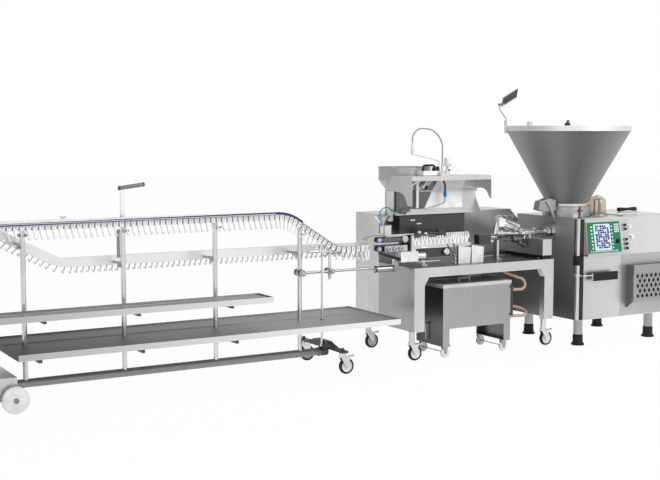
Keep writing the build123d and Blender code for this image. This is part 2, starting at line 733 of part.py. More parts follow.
# Folding step: perforated tray between its cheeks, hinged at its lower edge
with BuildPart() as folding_step:
    low_y = filler_front - step_stand_out
    high_y = low_y - step_lean
    side_lip = 26
    x_ends = (step_left, step_left + step_width)
    front_line = ((low_y, step_bottom), (high_y, step_bottom + step_height))
    end_prism((front_line[0], front_line[1], (high_y + step_sheet, step_bottom + step_height),
               (low_y + step_sheet, step_bottom)), x_ends)
    for end_x in (x_ends[0], x_ends[1] - sheet):
        end_prism((front_line[0], front_line[1], (high_y + side_lip, step_bottom + step_height),
                   (low_y + side_lip, step_bottom)), (end_x, end_x + sheet))
    bar((x_ends[0], low_y + 12, step_bottom + 8), (x_ends[1], low_y + 12, step_bottom + 8), 7)
    rows = int((step_height - 90) // step_hole_pitch[1]) + 1
    columns = int((step_width - 80) // step_hole_pitch[0])
    for row in range(rows):
        hole_z = step_bottom + 56 + row * step_hole_pitch[1]
        for column in range(columns):
            hole_x = step_left + 50 + (column + 0.5 * (row % 2)) * step_hole_pitch[0]
            face_y = low_y - step_lean * (hole_z - step_bottom) / step_height
            facet_bar((hole_x, face_y - 6, hole_z), (hole_x, face_y + 12, hole_z), step_hole, sides=4,
                      mode=Mode.SUBTRACT)
keep(folding_step, "folding_step")

# Mirror arm on the hopper's rim, and the mirror at its end
elbow = (clamp_x + mirror_elbow[0], clamp_y + mirror_elbow[1], hopper_rim_top + mirror_elbow[2])
with BuildPart() as mirror_arm:
    sleeve = ((clamp_x, clamp_y, hopper_rim_top + seat_gap),
              (clamp_x, clamp_y, hopper_rim_top + mirror_post_height))
    bar(*sleeve, 12)
    bent_bar(((clamp_x, clamp_y, hopper_rim_top + 30), (clamp_x + 4, clamp_y, hopper_rim_top + 60),
              (elbow[0] - 6, elbow[1], elbow[2] - 30), (elbow[0], elbow[1], elbow[2])), 12,
              mirror_arm_radius)
    bar((elbow[0], elbow[1] - 22, elbow[2]), (elbow[0], elbow[1] + 22, elbow[2]), 7)
keep(mirror_arm, "mirror_arm")

with BuildPart() as mirror:
    tilt = radians(mirror_tilt)
    run = Vector(cos(tilt), 0, sin(tilt))
    with Locations(Plane(origin=Vector(*elbow) + run * (mirror_size[0] / 2 + 8), x_dir=run,
                         z_dir=(-sin(tilt), 0, cos(tilt)))):
        Box(mirror_size[0], mirror_size[1], mirror_thickness)
    for side in (-1, 1):
        bar((elbow[0], elbow[1] + side * (22 + seat_gap), elbow[2]),
            (elbow[0], elbow[1] + side * 34, elbow[2]), 9)
    block((elbow[0] - 12, elbow[0] + 14), (elbow[1] - 22 - seat_gap, elbow[1] + 22 + seat_gap),
          (elbow[2] - 12, elbow[2] + 14), mode=Mode.SUBTRACT)
keep(mirror, "mirror")

# Table: portal frame in channel section, end panels, top, end wall on its rubber pad
with BuildPart() as table_frame:
    opening = ((table_left + leg_width, table_bottom),
               (table_left + leg_width, table_top - beam_height - corner_cut),
               (table_left + leg_width + corner_cut * 0.6, table_top - beam_height),
               (table_right - leg_width - corner_cut * 0.6, table_top - beam_height),
               (table_right - leg_width, table_top - beam_height - corner_cut),
               (table_right - leg_width, table_bottom))
    channel_y = (table_front, table_front + channel_depth)
    block((table_left, table_right), channel_y, (table_bottom, table_top))
    inside_y = (table_front + sheet, table_front + channel_depth + 1)
    side_prism(((table_left + sheet, table_bottom + sheet),
                (table_left + leg_width - sheet, table_bottom + sheet),
                (table_left + leg_width - sheet, table_top - beam_height - corner_cut + 2),
                (table_left + leg_width + corner_cut * 0.6 - sheet, table_top - beam_height + sheet),
                (table_right - leg_width - corner_cut * 0.6 + sheet, table_top - beam_height + sheet),
                (table_right - leg_width + sheet, table_top - beam_height - corner_cut + 2),
                (table_right - leg_width + sheet, table_bottom + sheet),
                (table_right - sheet, table_bottom + sheet),
                (table_right - sheet, table_top - sheet), (table_left + sheet, table_top - sheet)),
                inside_y,
               mode=Mode.SUBTRACT)
    side_prism(((opening[0][0], opening[0][1] - 1), *opening[1:5], (opening[5][0], opening[5][1] - 1)),
               (table_front - 1, inside_y[1]), mode=Mode.SUBTRACT)
    for panel_x in ((table_left, table_left + sheet), (table_right - sheet, table_right)):
        block(panel_x, (table_front, table_back), (table_bottom, table_top))
    block((table_left, table_right), (table_front, table_back), (table_top - sheet, table_top))
    # Wall under the pipe at the right end, on its pad, with the cradle that the pipe lies in
    wall_x = (table_right - wall_thickness, table_right)
    wall_y = (table_front + 30, table_back - seat_gap)
    wall_z = (table_top + wall_pad, table_top + wall_pad + wall_height)
    block((wall_x[0] + 5, wall_x[1] - 5), (wall_y[0] + 5, wall_y[1] - 5), (table_top, wall_z[0]))
    block(wall_x, wall_y, wall_z)
    block((wall_x[0] + sheet, wall_x[1] - sheet), (wall_y[0] + sheet, wall_y[1] - sheet),
          (wall_z[0] + sheet, wall_z[1] - sheet), mode=Mode.SUBTRACT)
    cradle_x = (wall_x[0] + 12, wall_x[0] + 36)
    cradle_top = outlet_height - pipe_radius * 0.5
    block(cradle_x, (pump_y - pipe_radius, pump_y + pipe_radius), (wall_z[1], cradle_top))
    bar((cradle_x[0] - 1, pump_y, outlet_height), (cradle_x[1] + 1, pump_y, outlet_height),
        pipe_radius + seat_gap, mode=Mode.SUBTRACT)
    # Hose fitting under the top
    table_fitting = (table_left + 950, table_front + 105)
    bar((*table_fitting, table_top - sheet - 34), (*table_fitting, table_top - sheet), hose_radius + 7)
keep(table_frame, "table_frame")

# Cabinet behind the table, with its right end cut obliquely, and three knobs on its front
with BuildPart() as rear_cabinet:
    cabinet_right = table_right + cabinet_overhang
    cabinet_shape = ((table_left, table_bottom), (table_right, table_bottom), (table_right, table_top + 20),
                     (cabinet_right, table_top + 20), (cabinet_right, cabinet_top - cabinet_slope),
                     (cabinet_right - cabinet_slope + 4, cabinet_top), (table_left, cabinet_top))
    side_prism(cabinet_shape, (table_back, cabinet_back))
    with BuildSketch(Plane.XZ.offset(-(cabinet_back - sheet))) as cabinet_core:
        with BuildLine():
            Polyline(*cabinet_shape, close=True)
        make_face()
        offset(amount=-sheet, mode=Mode.REPLACE)
    extrude(cabinet_core.sketch, amount=cabinet_depth - 2 * sheet, mode=Mode.SUBTRACT)
    for i in range(3):
        knob = (cabinet_right - 208 + 68 * i, table_back, cabinet_top - 68)
        facet_bar(knob, (knob[0], knob[1] - 22, knob[2]), 15)
    for stem_x in table_castor_x:
        castor_fork((stem_x, table_castor_y[1]), table_bottom, castor_radius, castor_width,
                    castor_trail, True)
keep(rear_cabinet, "rear_cabinet")

# Filling pipe: bored tube with slotted union nuts, from the filler's outlet to the head
with BuildPart() as filling_pipe:
    pipe_end = filler_left - 24
    bar((head_right, pump_y, outlet_height), (pipe_end, pump_y, outlet_height), pipe_radius)
    for nut_x, nut_length, nut_radius in union_nuts:
        facet_bar((nut_x, pump_y, outlet_height), (nut_x + nut_length, pump_y, outlet_height),
                  nut_radius, 10)
    bar((head_right, pump_y, outlet_height), (pipe_end, pump_y, outlet_height), pipe_bore,
        mode=Mode.SUBTRACT)
    # Boss for the valve lever
    boss_z = outlet_height - pipe_radius - 26
    bar((lever_x, pump_y, boss_z), (lever_x, pump_y, outlet_height - pipe_bore - 2), 15)
keep(filling_pipe, "filling_pipe")

# Small lever under the pipe
with BuildPart() as valve_lever:
    lever_z = boss_z - seat_gap
    bar((lever_x, pump_y, lever_z - 14), (lever_x, pump_y, lever_z), 13)
    side_prism(((lever_x - 8, lever_z - 6), (lever_x - 8, lever_z - 14), (lever_x - 16, lever_z - 74),
                (lever_x, lever_z - 78), (lever_x + 10, lever_z - 14), (lever_x + 10, lever_z - 6)),
               (pump_y - 6, pump_y + 6))
keep(valve_lever, "valve_lever")

# Co-extrusion head: turned body with a black coupling, slanted gel inlet and a stand on the table
with BuildPart() as coextrusion_head:
    coupling = (head_left, head_left + 125)
    block(coupling, (pump_y - 34, pump_y + 34), (outlet_height - 62, outlet_height - 6))
    bar((coupling[1] - 1, pump_y, outlet_height - 30), (coupling[1] + 40, pump_y, outlet_height - 22), 30)
    bar((coupling[1] + 38, pump_y, outlet_height), (head_right, pump_y, outlet_height), 40)
    bar((head_right - 20, pump_y, outlet_height), (head_right, pump_y, outlet_height), 48)
    bar((head_right - 52, pump_y, outlet_height), (head_right - 22, pump_y, outlet_height + 130), 26)
    bar((head_right - 40, pump_y, outlet_height + 128), (head_right + 200, pump_y, outlet_height + 60), 27)
    block((coupling[1] + 44, coupling[1] + 64), (pump_y - 24, pump_y + 24), (table_top, outlet_height - 30))
    block((coupling[1] + 30, coupling[1] + 78), (pump_y - 40, pump_y + 40), (table_top, table_top + 8))
keep(coextrusion_head, "coextrusion_head")

# Gel hopper on the cabinet
with BuildPart() as gel_hopper:
    gel_inner = gel_radius - gel_wall
    turned(((gel_neck_radius - gel_wall, cabinet_top), (gel_neck_radius + 26, cabinet_top),
            (gel_neck_radius + 26, cabinet_top + 8), (gel_neck_radius, cabinet_top + 8),
            (gel_neck_radius, gel_neck_top), (gel_radius, gel_cylinder_bottom), (gel_radius, gel_rim - 12),
            (gel_radius + 5, gel_rim - 12), (gel_radius + 5, gel_rim), (gel_inner, gel_rim),
            (gel_inner, gel_cylinder_bottom), (gel_neck_radius - gel_wall, gel_neck_top)), gel_at)
keep(gel_hopper, "gel_hopper")

# Hood: two cheeks with cut-outs, top with a front lip, back wall, beam, post and cross bar
with BuildPart() as hood:
    left_cheek = ((table_back + 72, cabinet_top), (table_back + 72, hood_top - 125), (188, hood_top),
                  (hood_front, hood_top), (hood_front, hood_top - 242), (hood_front + 63, hood_top - 242),
                  (hood_front + 88, hood_top - 186), (hood_front + 128, hood_top - 148),
                  (hood_front + 176, hood_top - 134), (hood_front + 256, hood_top - 130),
                  (hood_front + 256, cabinet_top))
    right_cheek = ((table_back + 52, cabinet_top), (table_back + 15, hood_top - 47), (188, hood_top),
                   (hood_front, hood_top), (hood_front - 6, hood_top - 196),
                   (hood_front + 15, hood_top - 196),
                   (hood_front + 60, hood_top - 136), (hood_front + 110, hood_top - 112),
                   (hood_front + 194, hood_top - 116), (hood_front + 233, hood_top - 163),
                   (hood_front + 136, cabinet_top))
    end_prism(left_cheek, (hood_left, hood_left + sheet))
    end_prism(right_cheek, (hood_right - sheet, hood_right))
    block((hood_left, hood_right), (hood_front, hood_back + sheet), (hood_top - sheet, hood_top))
    block((hood_left, hood_right), (hood_front, hood_front + sheet), (hood_top - hood_lip, hood_top))
    block((hood_left, hood_right), (hood_back, hood_back + sheet), (guard_beam[0], hood_top))
    beam_y = (hood_back - 26, hood_back)
    block((hood_left - 24, hood_right - 119), beam_y, guard_beam)
    block((hood_left + 120, hood_left + 160), (hood_back - 14, hood_back),
          (guard_beam[1], hood_top - sheet))
    block((hood_left, hood_right), (hood_back - 12, hood_back), (hood_top - 132, hood_top - 122))
    # Black handle behind the lip
    handle = (hood_left + 234, hood_left + 352, hood_back - 30)
    bent_bar(((handle[0], handle[2], hood_top - 1), (handle[0], handle[2], hood_top + 84),
              (handle[1], handle[2], hood_top + 84), (handle[1], handle[2], hood_top - 1)), 24, 9)
    # Base, rest arm and white valve of the spray hose
    spray_x = hood_left + 394
    block((spray_x - 34, spray_x + 60), (0, 50), (hood_top, hood_top + 26))
    bar((spray_x, 25, hood_top + 26), (spray_x, 25, hood_top + 92), 11)
    bar((spray_x + 50, 25, hood_top + 26), (spray_x + 50, 25, hood_top + 80), 12)
    bar((spray_x + 40, 25, hood_top + 78), (spray_x + 40, 25, hood_top + 92), 42)
    bar((spray_x + 50, 25, hood_top + 92), (spray_x + 50, 25, hood_top + 148), 24)
    bent_bar(((spray_x - 22, 25, hood_top + 25), (spray_x - 34, 25, hood_top + 122),
              (spray_x - 306, 25, hood_top + 180)), 14, 4)
keep(hood, "hood")

# Clear guard flap hinged under the beam
with BuildPart() as guard_flap:
    hinge_y = (beam_y[0] + beam_y[1]) / 2
    hinge_z = guard_beam[0] - 5 - seat_gap
    block((guard_left, guard_left + guard_length),
          (hinge_y - guard_thickness / 2, hinge_y + guard_thickness / 2),
          (guard_bottom, hinge_z))
    bar((guard_left, hinge_y, hinge_z), (guard_left + guard_length, hinge_y, hinge_z), 5)
keep(guard_flap, "guard_flap")

# Spray hose over the hood: held in its base at one end and on the rest arm by its gun
with BuildPart() as spray_hose:
    gun_x = spray_x - 302
    hose_points = ((spray_x, 25, hood_top + 92), (spray_x, 25, 1775), (spray_x - 108, 25, 1866),
                   (spray_x - 248, 25, 1871), (gun_x, 25, 1812), (gun_x, 25, 1757))
    with BuildLine() as hose_route:
        FilletPolyline(*hose_points, radius=(140, 150, 75, 55))
    with BuildSketch(Plane(origin=hose_route.line @ 0, z_dir=hose_route.line % 0)):
        Circle(6)
    sweep(path=hose_route.line)
    bar((gun_x, 25, 1757), (gun_x, 25, 1700), 11)
    bar((gun_x, 25, 1700), (gun_x, 25, hood_top + 184 + seat_gap), 14)
    bar((gun_x + 8, 25, 1712), (gun_x + 22, 25, 1676), 4)
keep(spray_hose, "spray_hose")

# Linker: beam on two columns, motor, plate that carries the belts, cover with gel pump and funnel
belt_y = (linker_y - belt_width / 2, linker_y + belt_width / 2)
belt_right = belt_left + belt_length
upper_axis_z = belt_middle + belt_gap / 2 + belt_thickness + belt_wheel_radius
lower_axis_z = belt_middle - belt_gap / 2 - belt_thickness - belt_wheel_radius
plate_y = (belt_y[1] + 14, belt_y[1] + 20)
cup_row_right = cup_left + cup_pitch * cup_count
cup_floor = belt_middle - cup_size[2] / 2
with BuildPart() as linker_body:
    beam_z = (cup_floor - 26, cup_floor - seat_gap)
    block((belt_right + 12, cup_row_right + 10), (linker_y - 45, plate_y[1]), beam_z)
    for column_x in (belt_right + 170, cup_row_right - 110):
        bar((column_x, linker_y, table_top), (column_x, linker_y, beam_z[0]), 18)
        bar((column_x, linker_y, table_top), (column_x, linker_y, table_top + 10), 40)
    block((belt_left + 14, belt_right + 60), plate_y, (lower_axis_z - 20, upper_axis_z + 34))
    block((belt_right + 12, belt_right + 44), (linker_y - 45, plate_y[0]),
          (beam_z[1] - 2, upper_axis_z + 26))
    for axis_z in (lower_axis_z, upper_axis_z):
        bar((belt_left + belt_wheel_radius + belt_thickness, plate_y[0], axis_z),
            (belt_left + belt_wheel_radius + belt_thickness, belt_y[0] - 6, axis_z), 8)
        bar((belt_right - belt_wheel_radius - belt_thickness, plate_y[0], axis_z),
            (belt_right - belt_wheel_radius - belt_thickness, belt_y[0], axis_z), belt_wheel_radius)
    cover_z = (upper_axis_z + 34, upper_axis_z + 42)
    cover_x = (belt_left + 72, belt_right + 44)
    block(cover_x, (linker_y - 45, plate_y[1] + 55), cover_z)
    flap = (belt_left - 72, linker_y - 45, linker_y + 45)
    side_prism(((flap[0], cover_z[0] - 8), (cover_x[0] + 10, cover_z[0]), (cover_x[0] + 10, cover_z[0] + 4),
                (flap[0], cover_z[0] - 4), (flap[0] - 36, cover_z[0] - 32),
                (flap[0] - 36, cover_z[0] - 36)),
               flap[1:])
    pump_at = (belt_left + 150, linker_y + 75)
    bar((*pump_at, cover_z[1]), (*pump_at, cover_z[1] + 66), 48)
    funnel_at = (belt_left + 82, linker_y + 30)
    turned(((0, cover_z[1]), (8, cover_z[1]), (8, cover_z[1] + 74), (70, cover_z[1] + 150),
            (66, cover_z[1] + 150), (6, cover_z[1] + 78), (0, cover_z[1] + 78)), funnel_at)
    # Motor box and motor under the beam, with the black bar in front of the belts
    motor_x = (belt_left + 191, belt_left + 360)
    motor_z = (table_top + 44, lower_axis_z - belt_wheel_radius - belt_thickness - 6)
    block(motor_x, (linker_y - 80, linker_y), motor_z)
    block((belt_right + 20, motor_x[1]), (linker_y - 45, linker_y), (motor_z[1] - 1, beam_z[0]))
    bar((motor_x[1], linker_y - 40, motor_z[0] + 36), (motor_x[1] + 80, linker_y - 40, motor_z[0] + 36), 35)
    side_prism(((motor_x[0] + 4, motor_z[0] + 36), (motor_x[0] + 4, motor_z[0] + 10),
                (belt_left, motor_z[1] - 7),
                (belt_left, motor_z[1] + 8)), (linker_y - 80, linker_y - 40))
keep(linker_body, "linker_body")

for wheel_name, axis_z in (("upper_belt_wheel", upper_axis_z), ("lower_belt_wheel", lower_axis_z)):
    with BuildPart() as belt_wheel:
        wheel_x = belt_left + belt_wheel_radius + belt_thickness
        bar((wheel_x, belt_y[0], axis_z), (wheel_x, belt_y[1], axis_z), belt_wheel_radius)
        facet_bar((wheel_x, belt_y[1] - 1, axis_z), (wheel_x, belt_y[1] + 6, axis_z), 14)
        bar((wheel_x, belt_y[0] - 1, axis_z), (wheel_x, belt_y[1] + 7, axis_z), 8 + shaft_clearance,
            mode=Mode.SUBTRACT)
    keep(belt_wheel, wheel_name)

# Two short belts, one above the other, that carry the sausages out
with BuildPart() as linker_belts:
    for axis_z in (lower_axis_z, upper_axis_z):
        with BuildSketch(Plane.XZ.offset(-belt_y[1])):
            with Locations(((belt_left + belt_right) / 2, axis_z)):
                outer = belt_wheel_radius + belt_thickness
                SlotOverall(belt_length, 2 * outer)
                inner = belt_wheel_radius + seat_gap
                SlotOverall(belt_length - 2 * (outer - inner), 2 * inner, mode=Mode.SUBTRACT)
        extrude(amount=belt_width)
keep(linker_belts, "linker_belts")

# Two rows of white link cups that close round the filled casing, and the splash plates beside them
with BuildPart() as link_cups:
    half = cup_gap / 2
    for i in range(cup_count):
        cup_x = (cup_left + i * cup_pitch, cup_left + i * cup_pitch + cup_size[0])
        for side in (-1, 1):
            near = linker_y + side * half
            far = linker_y + side * (half + cup_size[1])
            block(cup_x, (min(near, far), max(near, far)), (cup_floor, cup_floor + cup_size[2]))
    block((cup_left, cup_row_right), (linker_y - half - cup_size[1], linker_y + half + cup_size[1]),
          (cup_floor, cup_floor + 5))
    for plate_x in (cup_row_right - 130, cup_row_right + 6):
        side_prism(((plate_x, table_top), (plate_x + 118, table_top), (plate_x + 126, table_top + 128),
                    (plate_x, table_top + 150)), (linker_y - 66, linker_y - 62))
keep(link_cups, "link_cups")

# Table castors: swivel forks in front, fixed forks behind, each with its own wheel
for place, stem_x in zip(("left", "right"), table_castor_x):
    with BuildPart() as fork:
        castor_fork((stem_x, table_castor_y[0]), table_bottom - seat_gap, castor_radius, castor_width,
                    castor_trail, True)
    keep(fork, f"table_fork_{place}")
    for row, stem_y in zip(("front", "rear"), table_castor_y):
        with BuildPart() as wheel:
            castor_wheel(stem_x + castor_trail, stem_y, castor_radius, castor_width,
                         axle_radius + shaft_clearance)
        keep(wheel, f"table_wheel_{row}_{place}")

# Brine tank: open shell on corner legs with four small fixed forks, sight tube and drain cock
tank_right = tank_left + tank_length
tank_back = tank_front + tank_depth
tank_leg_bottom = 2 * small_castor_radius + 6 + castor_crown
tank_stem_x = (tank_left + tank_castor_inset - castor_trail / 2,
               tank_right - tank_castor_inset - castor_trail / 2)
tank_stem_y = (tank_front + 32, tank_back - 32)
with BuildPart() as tank:
    block((tank_left, tank_right), (tank_front, tank_back), (tank_bottom, tank_top))
    block((tank_left + sheet, tank_right - sheet), (tank_front + sheet, tank_back - sheet),
          (tank_bottom + sheet, tank_top + 1), mode=Mode.SUBTRACT)
    foot_z = (tank_leg_bottom, tank_bottom)
    for end_x in (tank_left, tank_right - sheet):
        block((end_x, end_x + sheet), (tank_front, tank_back), foot_z)
    for leg_x in (tank_left, tank_right - tank_leg):
        for leg_y in (tank_front, tank_back - sheet):
            block((leg_x, leg_x + tank_leg), (leg_y, leg_y + sheet), foot_z)
        block((leg_x, leg_x + tank_leg), (tank_front, tank_back), (foot_z[0], foot_z[0] + sheet))
    for stem_x in tank_stem_x:
        for stem_y in tank_stem_y:
            castor_fork((stem_x, stem_y), tank_leg_bottom, small_castor_radius, small_castor_width,
                        castor_trail / 2, False)
    gauge = (tank_right + 22, tank_front + 12)
    bar((*gauge, 285), (*gauge, 538), 8)
    for gauge_z in (290, 530):
        block((tank_right - sheet, gauge[0] + 12), (gauge[1] - 10, gauge[1] + 10),
              (gauge_z - 10, gauge_z + 10))
    ports = ((tank_front + 95, 505), (tank_front + 95, 280), (tank_front + 195, 346))
    for port_y, port_z in ports:
        bar((tank_right - sheet, port_y, port_z), (tank_right + 34, port_y, port_z), hose_radius + 4)
    drain_y = tank_front + 212
    bar((tank_left + sheet, drain_y, 262), (tank_left - 26, drain_y, 262), 9)
    bar((tank_left - 20, drain_y, 262), (tank_left - 20, drain_y, 130), 7)
    block((tank_left - 44, tank_left - 18), (drain_y - 5, drain_y + 5), (264, 276))
keep(tank, "tank")

for place, stem_x in zip(("left", "right"), tank_stem_x):
    with BuildPart() as wheel_pair:
        for stem_y in tank_stem_y:
            castor_wheel(stem_x + castor_trail / 2, stem_y, small_castor_radius, small_castor_width,
                         axle_radius + shaft_clearance)
    keep(wheel_pair, f"tank_wheels_{place}")

# Loose lid with turned-down edges, a raised border and a bow handle
with BuildPart() as tank_lid:
    lid_over = 5
    lid_x = (tank_left - lid_over, tank_right + lid_over)
    lid_y = (tank_front - lid_over, tank_back + lid_over)
    lid_z = tank_top + seat_gap
    block(lid_x, lid_y, (lid_z - 16, lid_z + 12))
    block((lid_x[0] + 2, lid_x[1] - 2), (lid_y[0] + 2, lid_y[1] - 2), (lid_z - 17, lid_z),
          mode=Mode.SUBTRACT)
    block((lid_x[0] + 45, lid_x[1] - 45), (lid_y[0] + 35, lid_y[1] - 35), (lid_z + 4, lid_z + 13),
          mode=Mode.SUBTRACT)
    lid_mid = ((lid_x[0] + lid_x[1]) / 2, (lid_y[0] + lid_y[1]) / 2)
    block((lid_mid[0] - 60, lid_mid[0] + 60), (lid_mid[1] - 7, lid_mid[1] + 7), (lid_z + 3, lid_z + 34))
    block((lid_mid[0] - 48, lid_mid[0] + 48), (lid_mid[1] - 8, lid_mid[1] + 8), (lid_z + 4, lid_z + 26),
          mode=Mode.SUBTRACT)
    # The gauge's upper block stands beside the rim
    block((tank_right, gauge[0] + 20), (gauge[1] - 16, gauge[1] + 16), (lid_z - 17, lid_z),
          mode=Mode.SUBTRACT)
keep(tank_lid, "tank_lid")

# Two hoses between table and tank, each held at both ends
with BuildPart() as tank_hoses:
    bow_x = tank_right + 205
    port_x = tank_right + 34
    upper = ((*table_fitting, table_top - sheet - 34), (*table_fitting, 675),
             (bow_x - 50, ports[0][0], 660),
             (bow_x + 5, ports[0][0], 580), (bow_x - 20, ports[0][0], 505), (port_x, ports[0][0], 505))
    lower = ((port_x, ports[2][0], 346), (bow_x + 20, ports[2][0], 346), (bow_x + 30, ports[1][0], 280),
             (port_x, ports[1][0], 280))
    bent_bar(upper, 24, hose_radius)
    bent_bar(lower, 28, hose_radius)
keep(tank_hoses, "tank_hoses")

# Base tube with the ring at its right end
with BuildPart() as base_tube:
    bar((base_left, line_y, base_height), (base_right, line_y, base_height), base_radius)
    bar((base_right - 10, line_y, base_height), (base_right, line_y, base_height), base_radius + 6)
keep(base_tube, "base_tube")

# Rail over the front run: strip down the slope, plate over the straight part, cover of the left turn
front_route = run_route(((drive_x, rail_height), (slope_top_x, rail_height),
                         (slope_foot_x, low_rail_height),
                         (idler_x, low_rail_height)), (slope_top_bend, slope_foot_bend))
return_route = run_route(((drive_x, rail_height), (return_rise_x, rail_height),
                          (return_bend_x, low_rail_height),
                          (idler_x, low_rail_height)), (return_bend, return_bend))
with BuildPart() as upper_rail:
    strip_y = (front_run_y - rail_width / 2, front_run_y + rail_width / 2)
    plate_z = (rail_height, rail_height + rail_thickness)
    strip(front_route, (-rail_thickness, 0), strip_y)
    block((drive_x, slope_top_x - 120), (strip_y[0] - 5, strip_y[0] - 5 + rail_plate_width), plate_z)
    bar((drive_x, turn_y, plate_z[0]), (drive_x, turn_y, plate_z[1]), cover_radius)
    bar((drive_x, turn_y, plate_z[1] - 1), (drive_x, turn_y, plate_z[1] + 14), 30)
    # Bracket that carries the idler wheel at the low end
    low_z = (low_rail_height, low_rail_height + rail_thickness)
    block((slope_foot_x - 62, idler_x), (strip_y[1] - 1, turn_y + 20), low_z)
    bar((idler_x, turn_y, low_z[0]), (idler_x, turn_y, low_z[1]), 44)
    bar((idler_x, turn_y, low_rail_height - link_height), (idler_x, turn_y, low_z[0]), shaft_radius)
    # Wing screw
    wing_x = drive_x + 662
    bar((wing_x, front_run_y + 15, plate_z[1]), (wing_x, front_run_y + 15, plate_z[1] + 26), 5)
    block((wing_x - 22, wing_x + 22), (front_run_y + 12, front_run_y + 18),
          (plate_z[1] + 24, plate_z[1] + 38))
keep(upper_rail, "upper_rail")

# Rail over the return run: inverted channel that stops short of the turns
with BuildPart() as return_rail:
    rail_left = drive_x + cover_radius - 38
    rail_right = slope_foot_x - 20
    channel_half = link_width / 2 + 9
    run_y = (return_run_y - channel_half, return_run_y + channel_half)
    strip(return_route, (-sheet, 0), run_y)
    for web_y in ((run_y[0] - sheet, run_y[0]), (run_y[1], run_y[1] + sheet)):
        strip(return_route, (-sheet, return_strip), web_y)
    for cut_x in ((drive_x - 100, rail_left), (rail_right, idler_x + 100)):
        block(cut_x, (run_y[0] - 10, run_y[1] + 10), (low_rail_height - 200, rail_height + 50),
              mode=Mode.SUBTRACT)
keep(return_rail, "return_rail")

# Endless hook chain: two runs and two half turns
with BuildPart() as hook_chain:
    chain_turn((drive_x, turn_y), 90, rail_height)
    chain_turn((idler_x, turn_y), -90, low_rail_height)
    chain_run(front_route, front_run_y, 1)
    chain_run(return_route, return_run_y, -1)
keep(hook_chain, "hook_chain")

# Wheels inside the two turns
for wheel_name, wheel_x, top_z in (("drive_wheel", drive_x, rail_height),
                                   ("idler_wheel", idler_x, low_rail_height)):
    with BuildPart() as turn_wheel:
        wheel_z = (top_z - link_height + link_slot_depth, top_z - 2 * seat_gap)
        bar((wheel_x, turn_y, wheel_z[0]), (wheel_x, turn_y, wheel_z[1]),
            turn_radius - link_width / 2 - seat_gap)
        for i in range(6):
            angle = radians(60 * i)
            hole = (wheel_x + 74 * cos(angle), turn_y + 74 * sin(angle))
            facet_bar((*hole, wheel_z[0] - 1), (*hole, wheel_z[1] + 1), 24, 6, mode=Mode.SUBTRACT)
        bar((wheel_x, turn_y, wheel_z[0]), (wheel_x, turn_y, wheel_z[1]), shaft_radius + shaft_clearance,
            mode=Mode.SUBTRACT)
    keep(turn_wheel, wheel_name)

# Four posts, coped on to the base tube, with their clamps, return-rail arms and tray brackets
with BuildPart() as line_posts:
    for x in post_x:
        bar((x, line_y, base_height + 2), (x, line_y, rail_height), post_radius)
        block((x - 26, x + 26), (line_y - 24, line_y + 24), (rail_height - 92, rail_height - 62))
        rise = min(max((return_bend_x - x) / (return_bend_x - return_rise_x), 0), 1)
        arm_z = low_rail_height + rise * (rail_height - low_rail_height) - return_strip + 12
        block((x - 8, x + 8), (line_y, run_y[0] - sheet), (arm_z, arm_z + 20))
        block((x - 22, x + 22), (line_y - 24, line_y + 24), (arm_z - 10, arm_z + 30))
        bar((x, line_y, lower_tray_z - tray_sheet - 12), (x, line_y, lower_tray_z - tray_sheet), 40)
    for x in post_x[:3]:
        block((x - 6, x + 6), (upper_tray_y[0], line_y),
              (upper_tray_z - tray_flange - 16, upper_tray_z - tray_flange))
    bar((base_left, line_y, base_height), (base_right, line_y, base_height), base_radius,
        mode=Mode.SUBTRACT)
keep(line_posts, "line_posts")

# Narrow upper tray in front of the posts
with BuildPart() as upper_tray:
    tray(upper_tray_x, upper_tray_y, upper_tray_z, ((upper_tray_y[0] + upper_tray_y[1]) / 2,))
keep(upper_tray, "upper_tray")

# Wide lower tray, which the posts and the guide tube pass through
guide_at = (bogie_x - bogie_width / 2 - 9, line_y - 47)
lower_tray_y = (line_y - lower_tray_half, line_y + lower_tray_half)
with BuildPart() as lower_tray:
    tray(lower_tray_x, lower_tray_y, lower_tray_z, (line_y + 90,))
    for x in post_x:
        bar((x, line_y, lower_tray_z - 10), (x, line_y, lower_tray_z + 10), post_radius + seat_gap,
            mode=Mode.SUBTRACT)
    bar((*guide_at, lower_tray_z - 10), (*guide_at, lower_tray_z + 10), 12, mode=Mode.SUBTRACT)
keep(lower_tray, "lower_tray")

# Chain drive: hollow axle box, column, gearbox with its motor, and the drive wheel's shaft
with BuildPart() as chain_drive:
    box_y = (line_y - axle_box_half, line_y + axle_box_half)
    block(axle_box_x, box_y, axle_box_z)
    block((axle_box_x[0] + sheet, axle_box_x[1] - sheet), (box_y[0] + sheet, box_y[1] - sheet),
          (axle_box_z[0] + sheet, axle_box_z[1] - sheet), mode=Mode.SUBTRACT)
    bar((plain_wheel_x, box_y[0] - 1, plain_wheel_radius),
        (plain_wheel_x, box_y[1] + 1, plain_wheel_radius),
        through_axle_radius + shaft_clearance, mode=Mode.SUBTRACT)
    gearbox_z = (rail_height - 115, rail_height - 62)
    block((drive_x - 30, drive_x + 30), (turn_y - 30, turn_y + 30), (axle_box_z[1] - sheet, gearbox_z[0]))
    block((drive_x - 45, drive_x + 75), (turn_y - 45, turn_y + 45), gearbox_z)
    bar((drive_x + 62, turn_y, gearbox_z[0] - 210), (drive_x + 62, turn_y, gearbox_z[0]), 31)
    bar((drive_x, turn_y, gearbox_z[1]), (drive_x, turn_y, rail_height - 1), shaft_radius)
keep(chain_drive, "chain_drive")

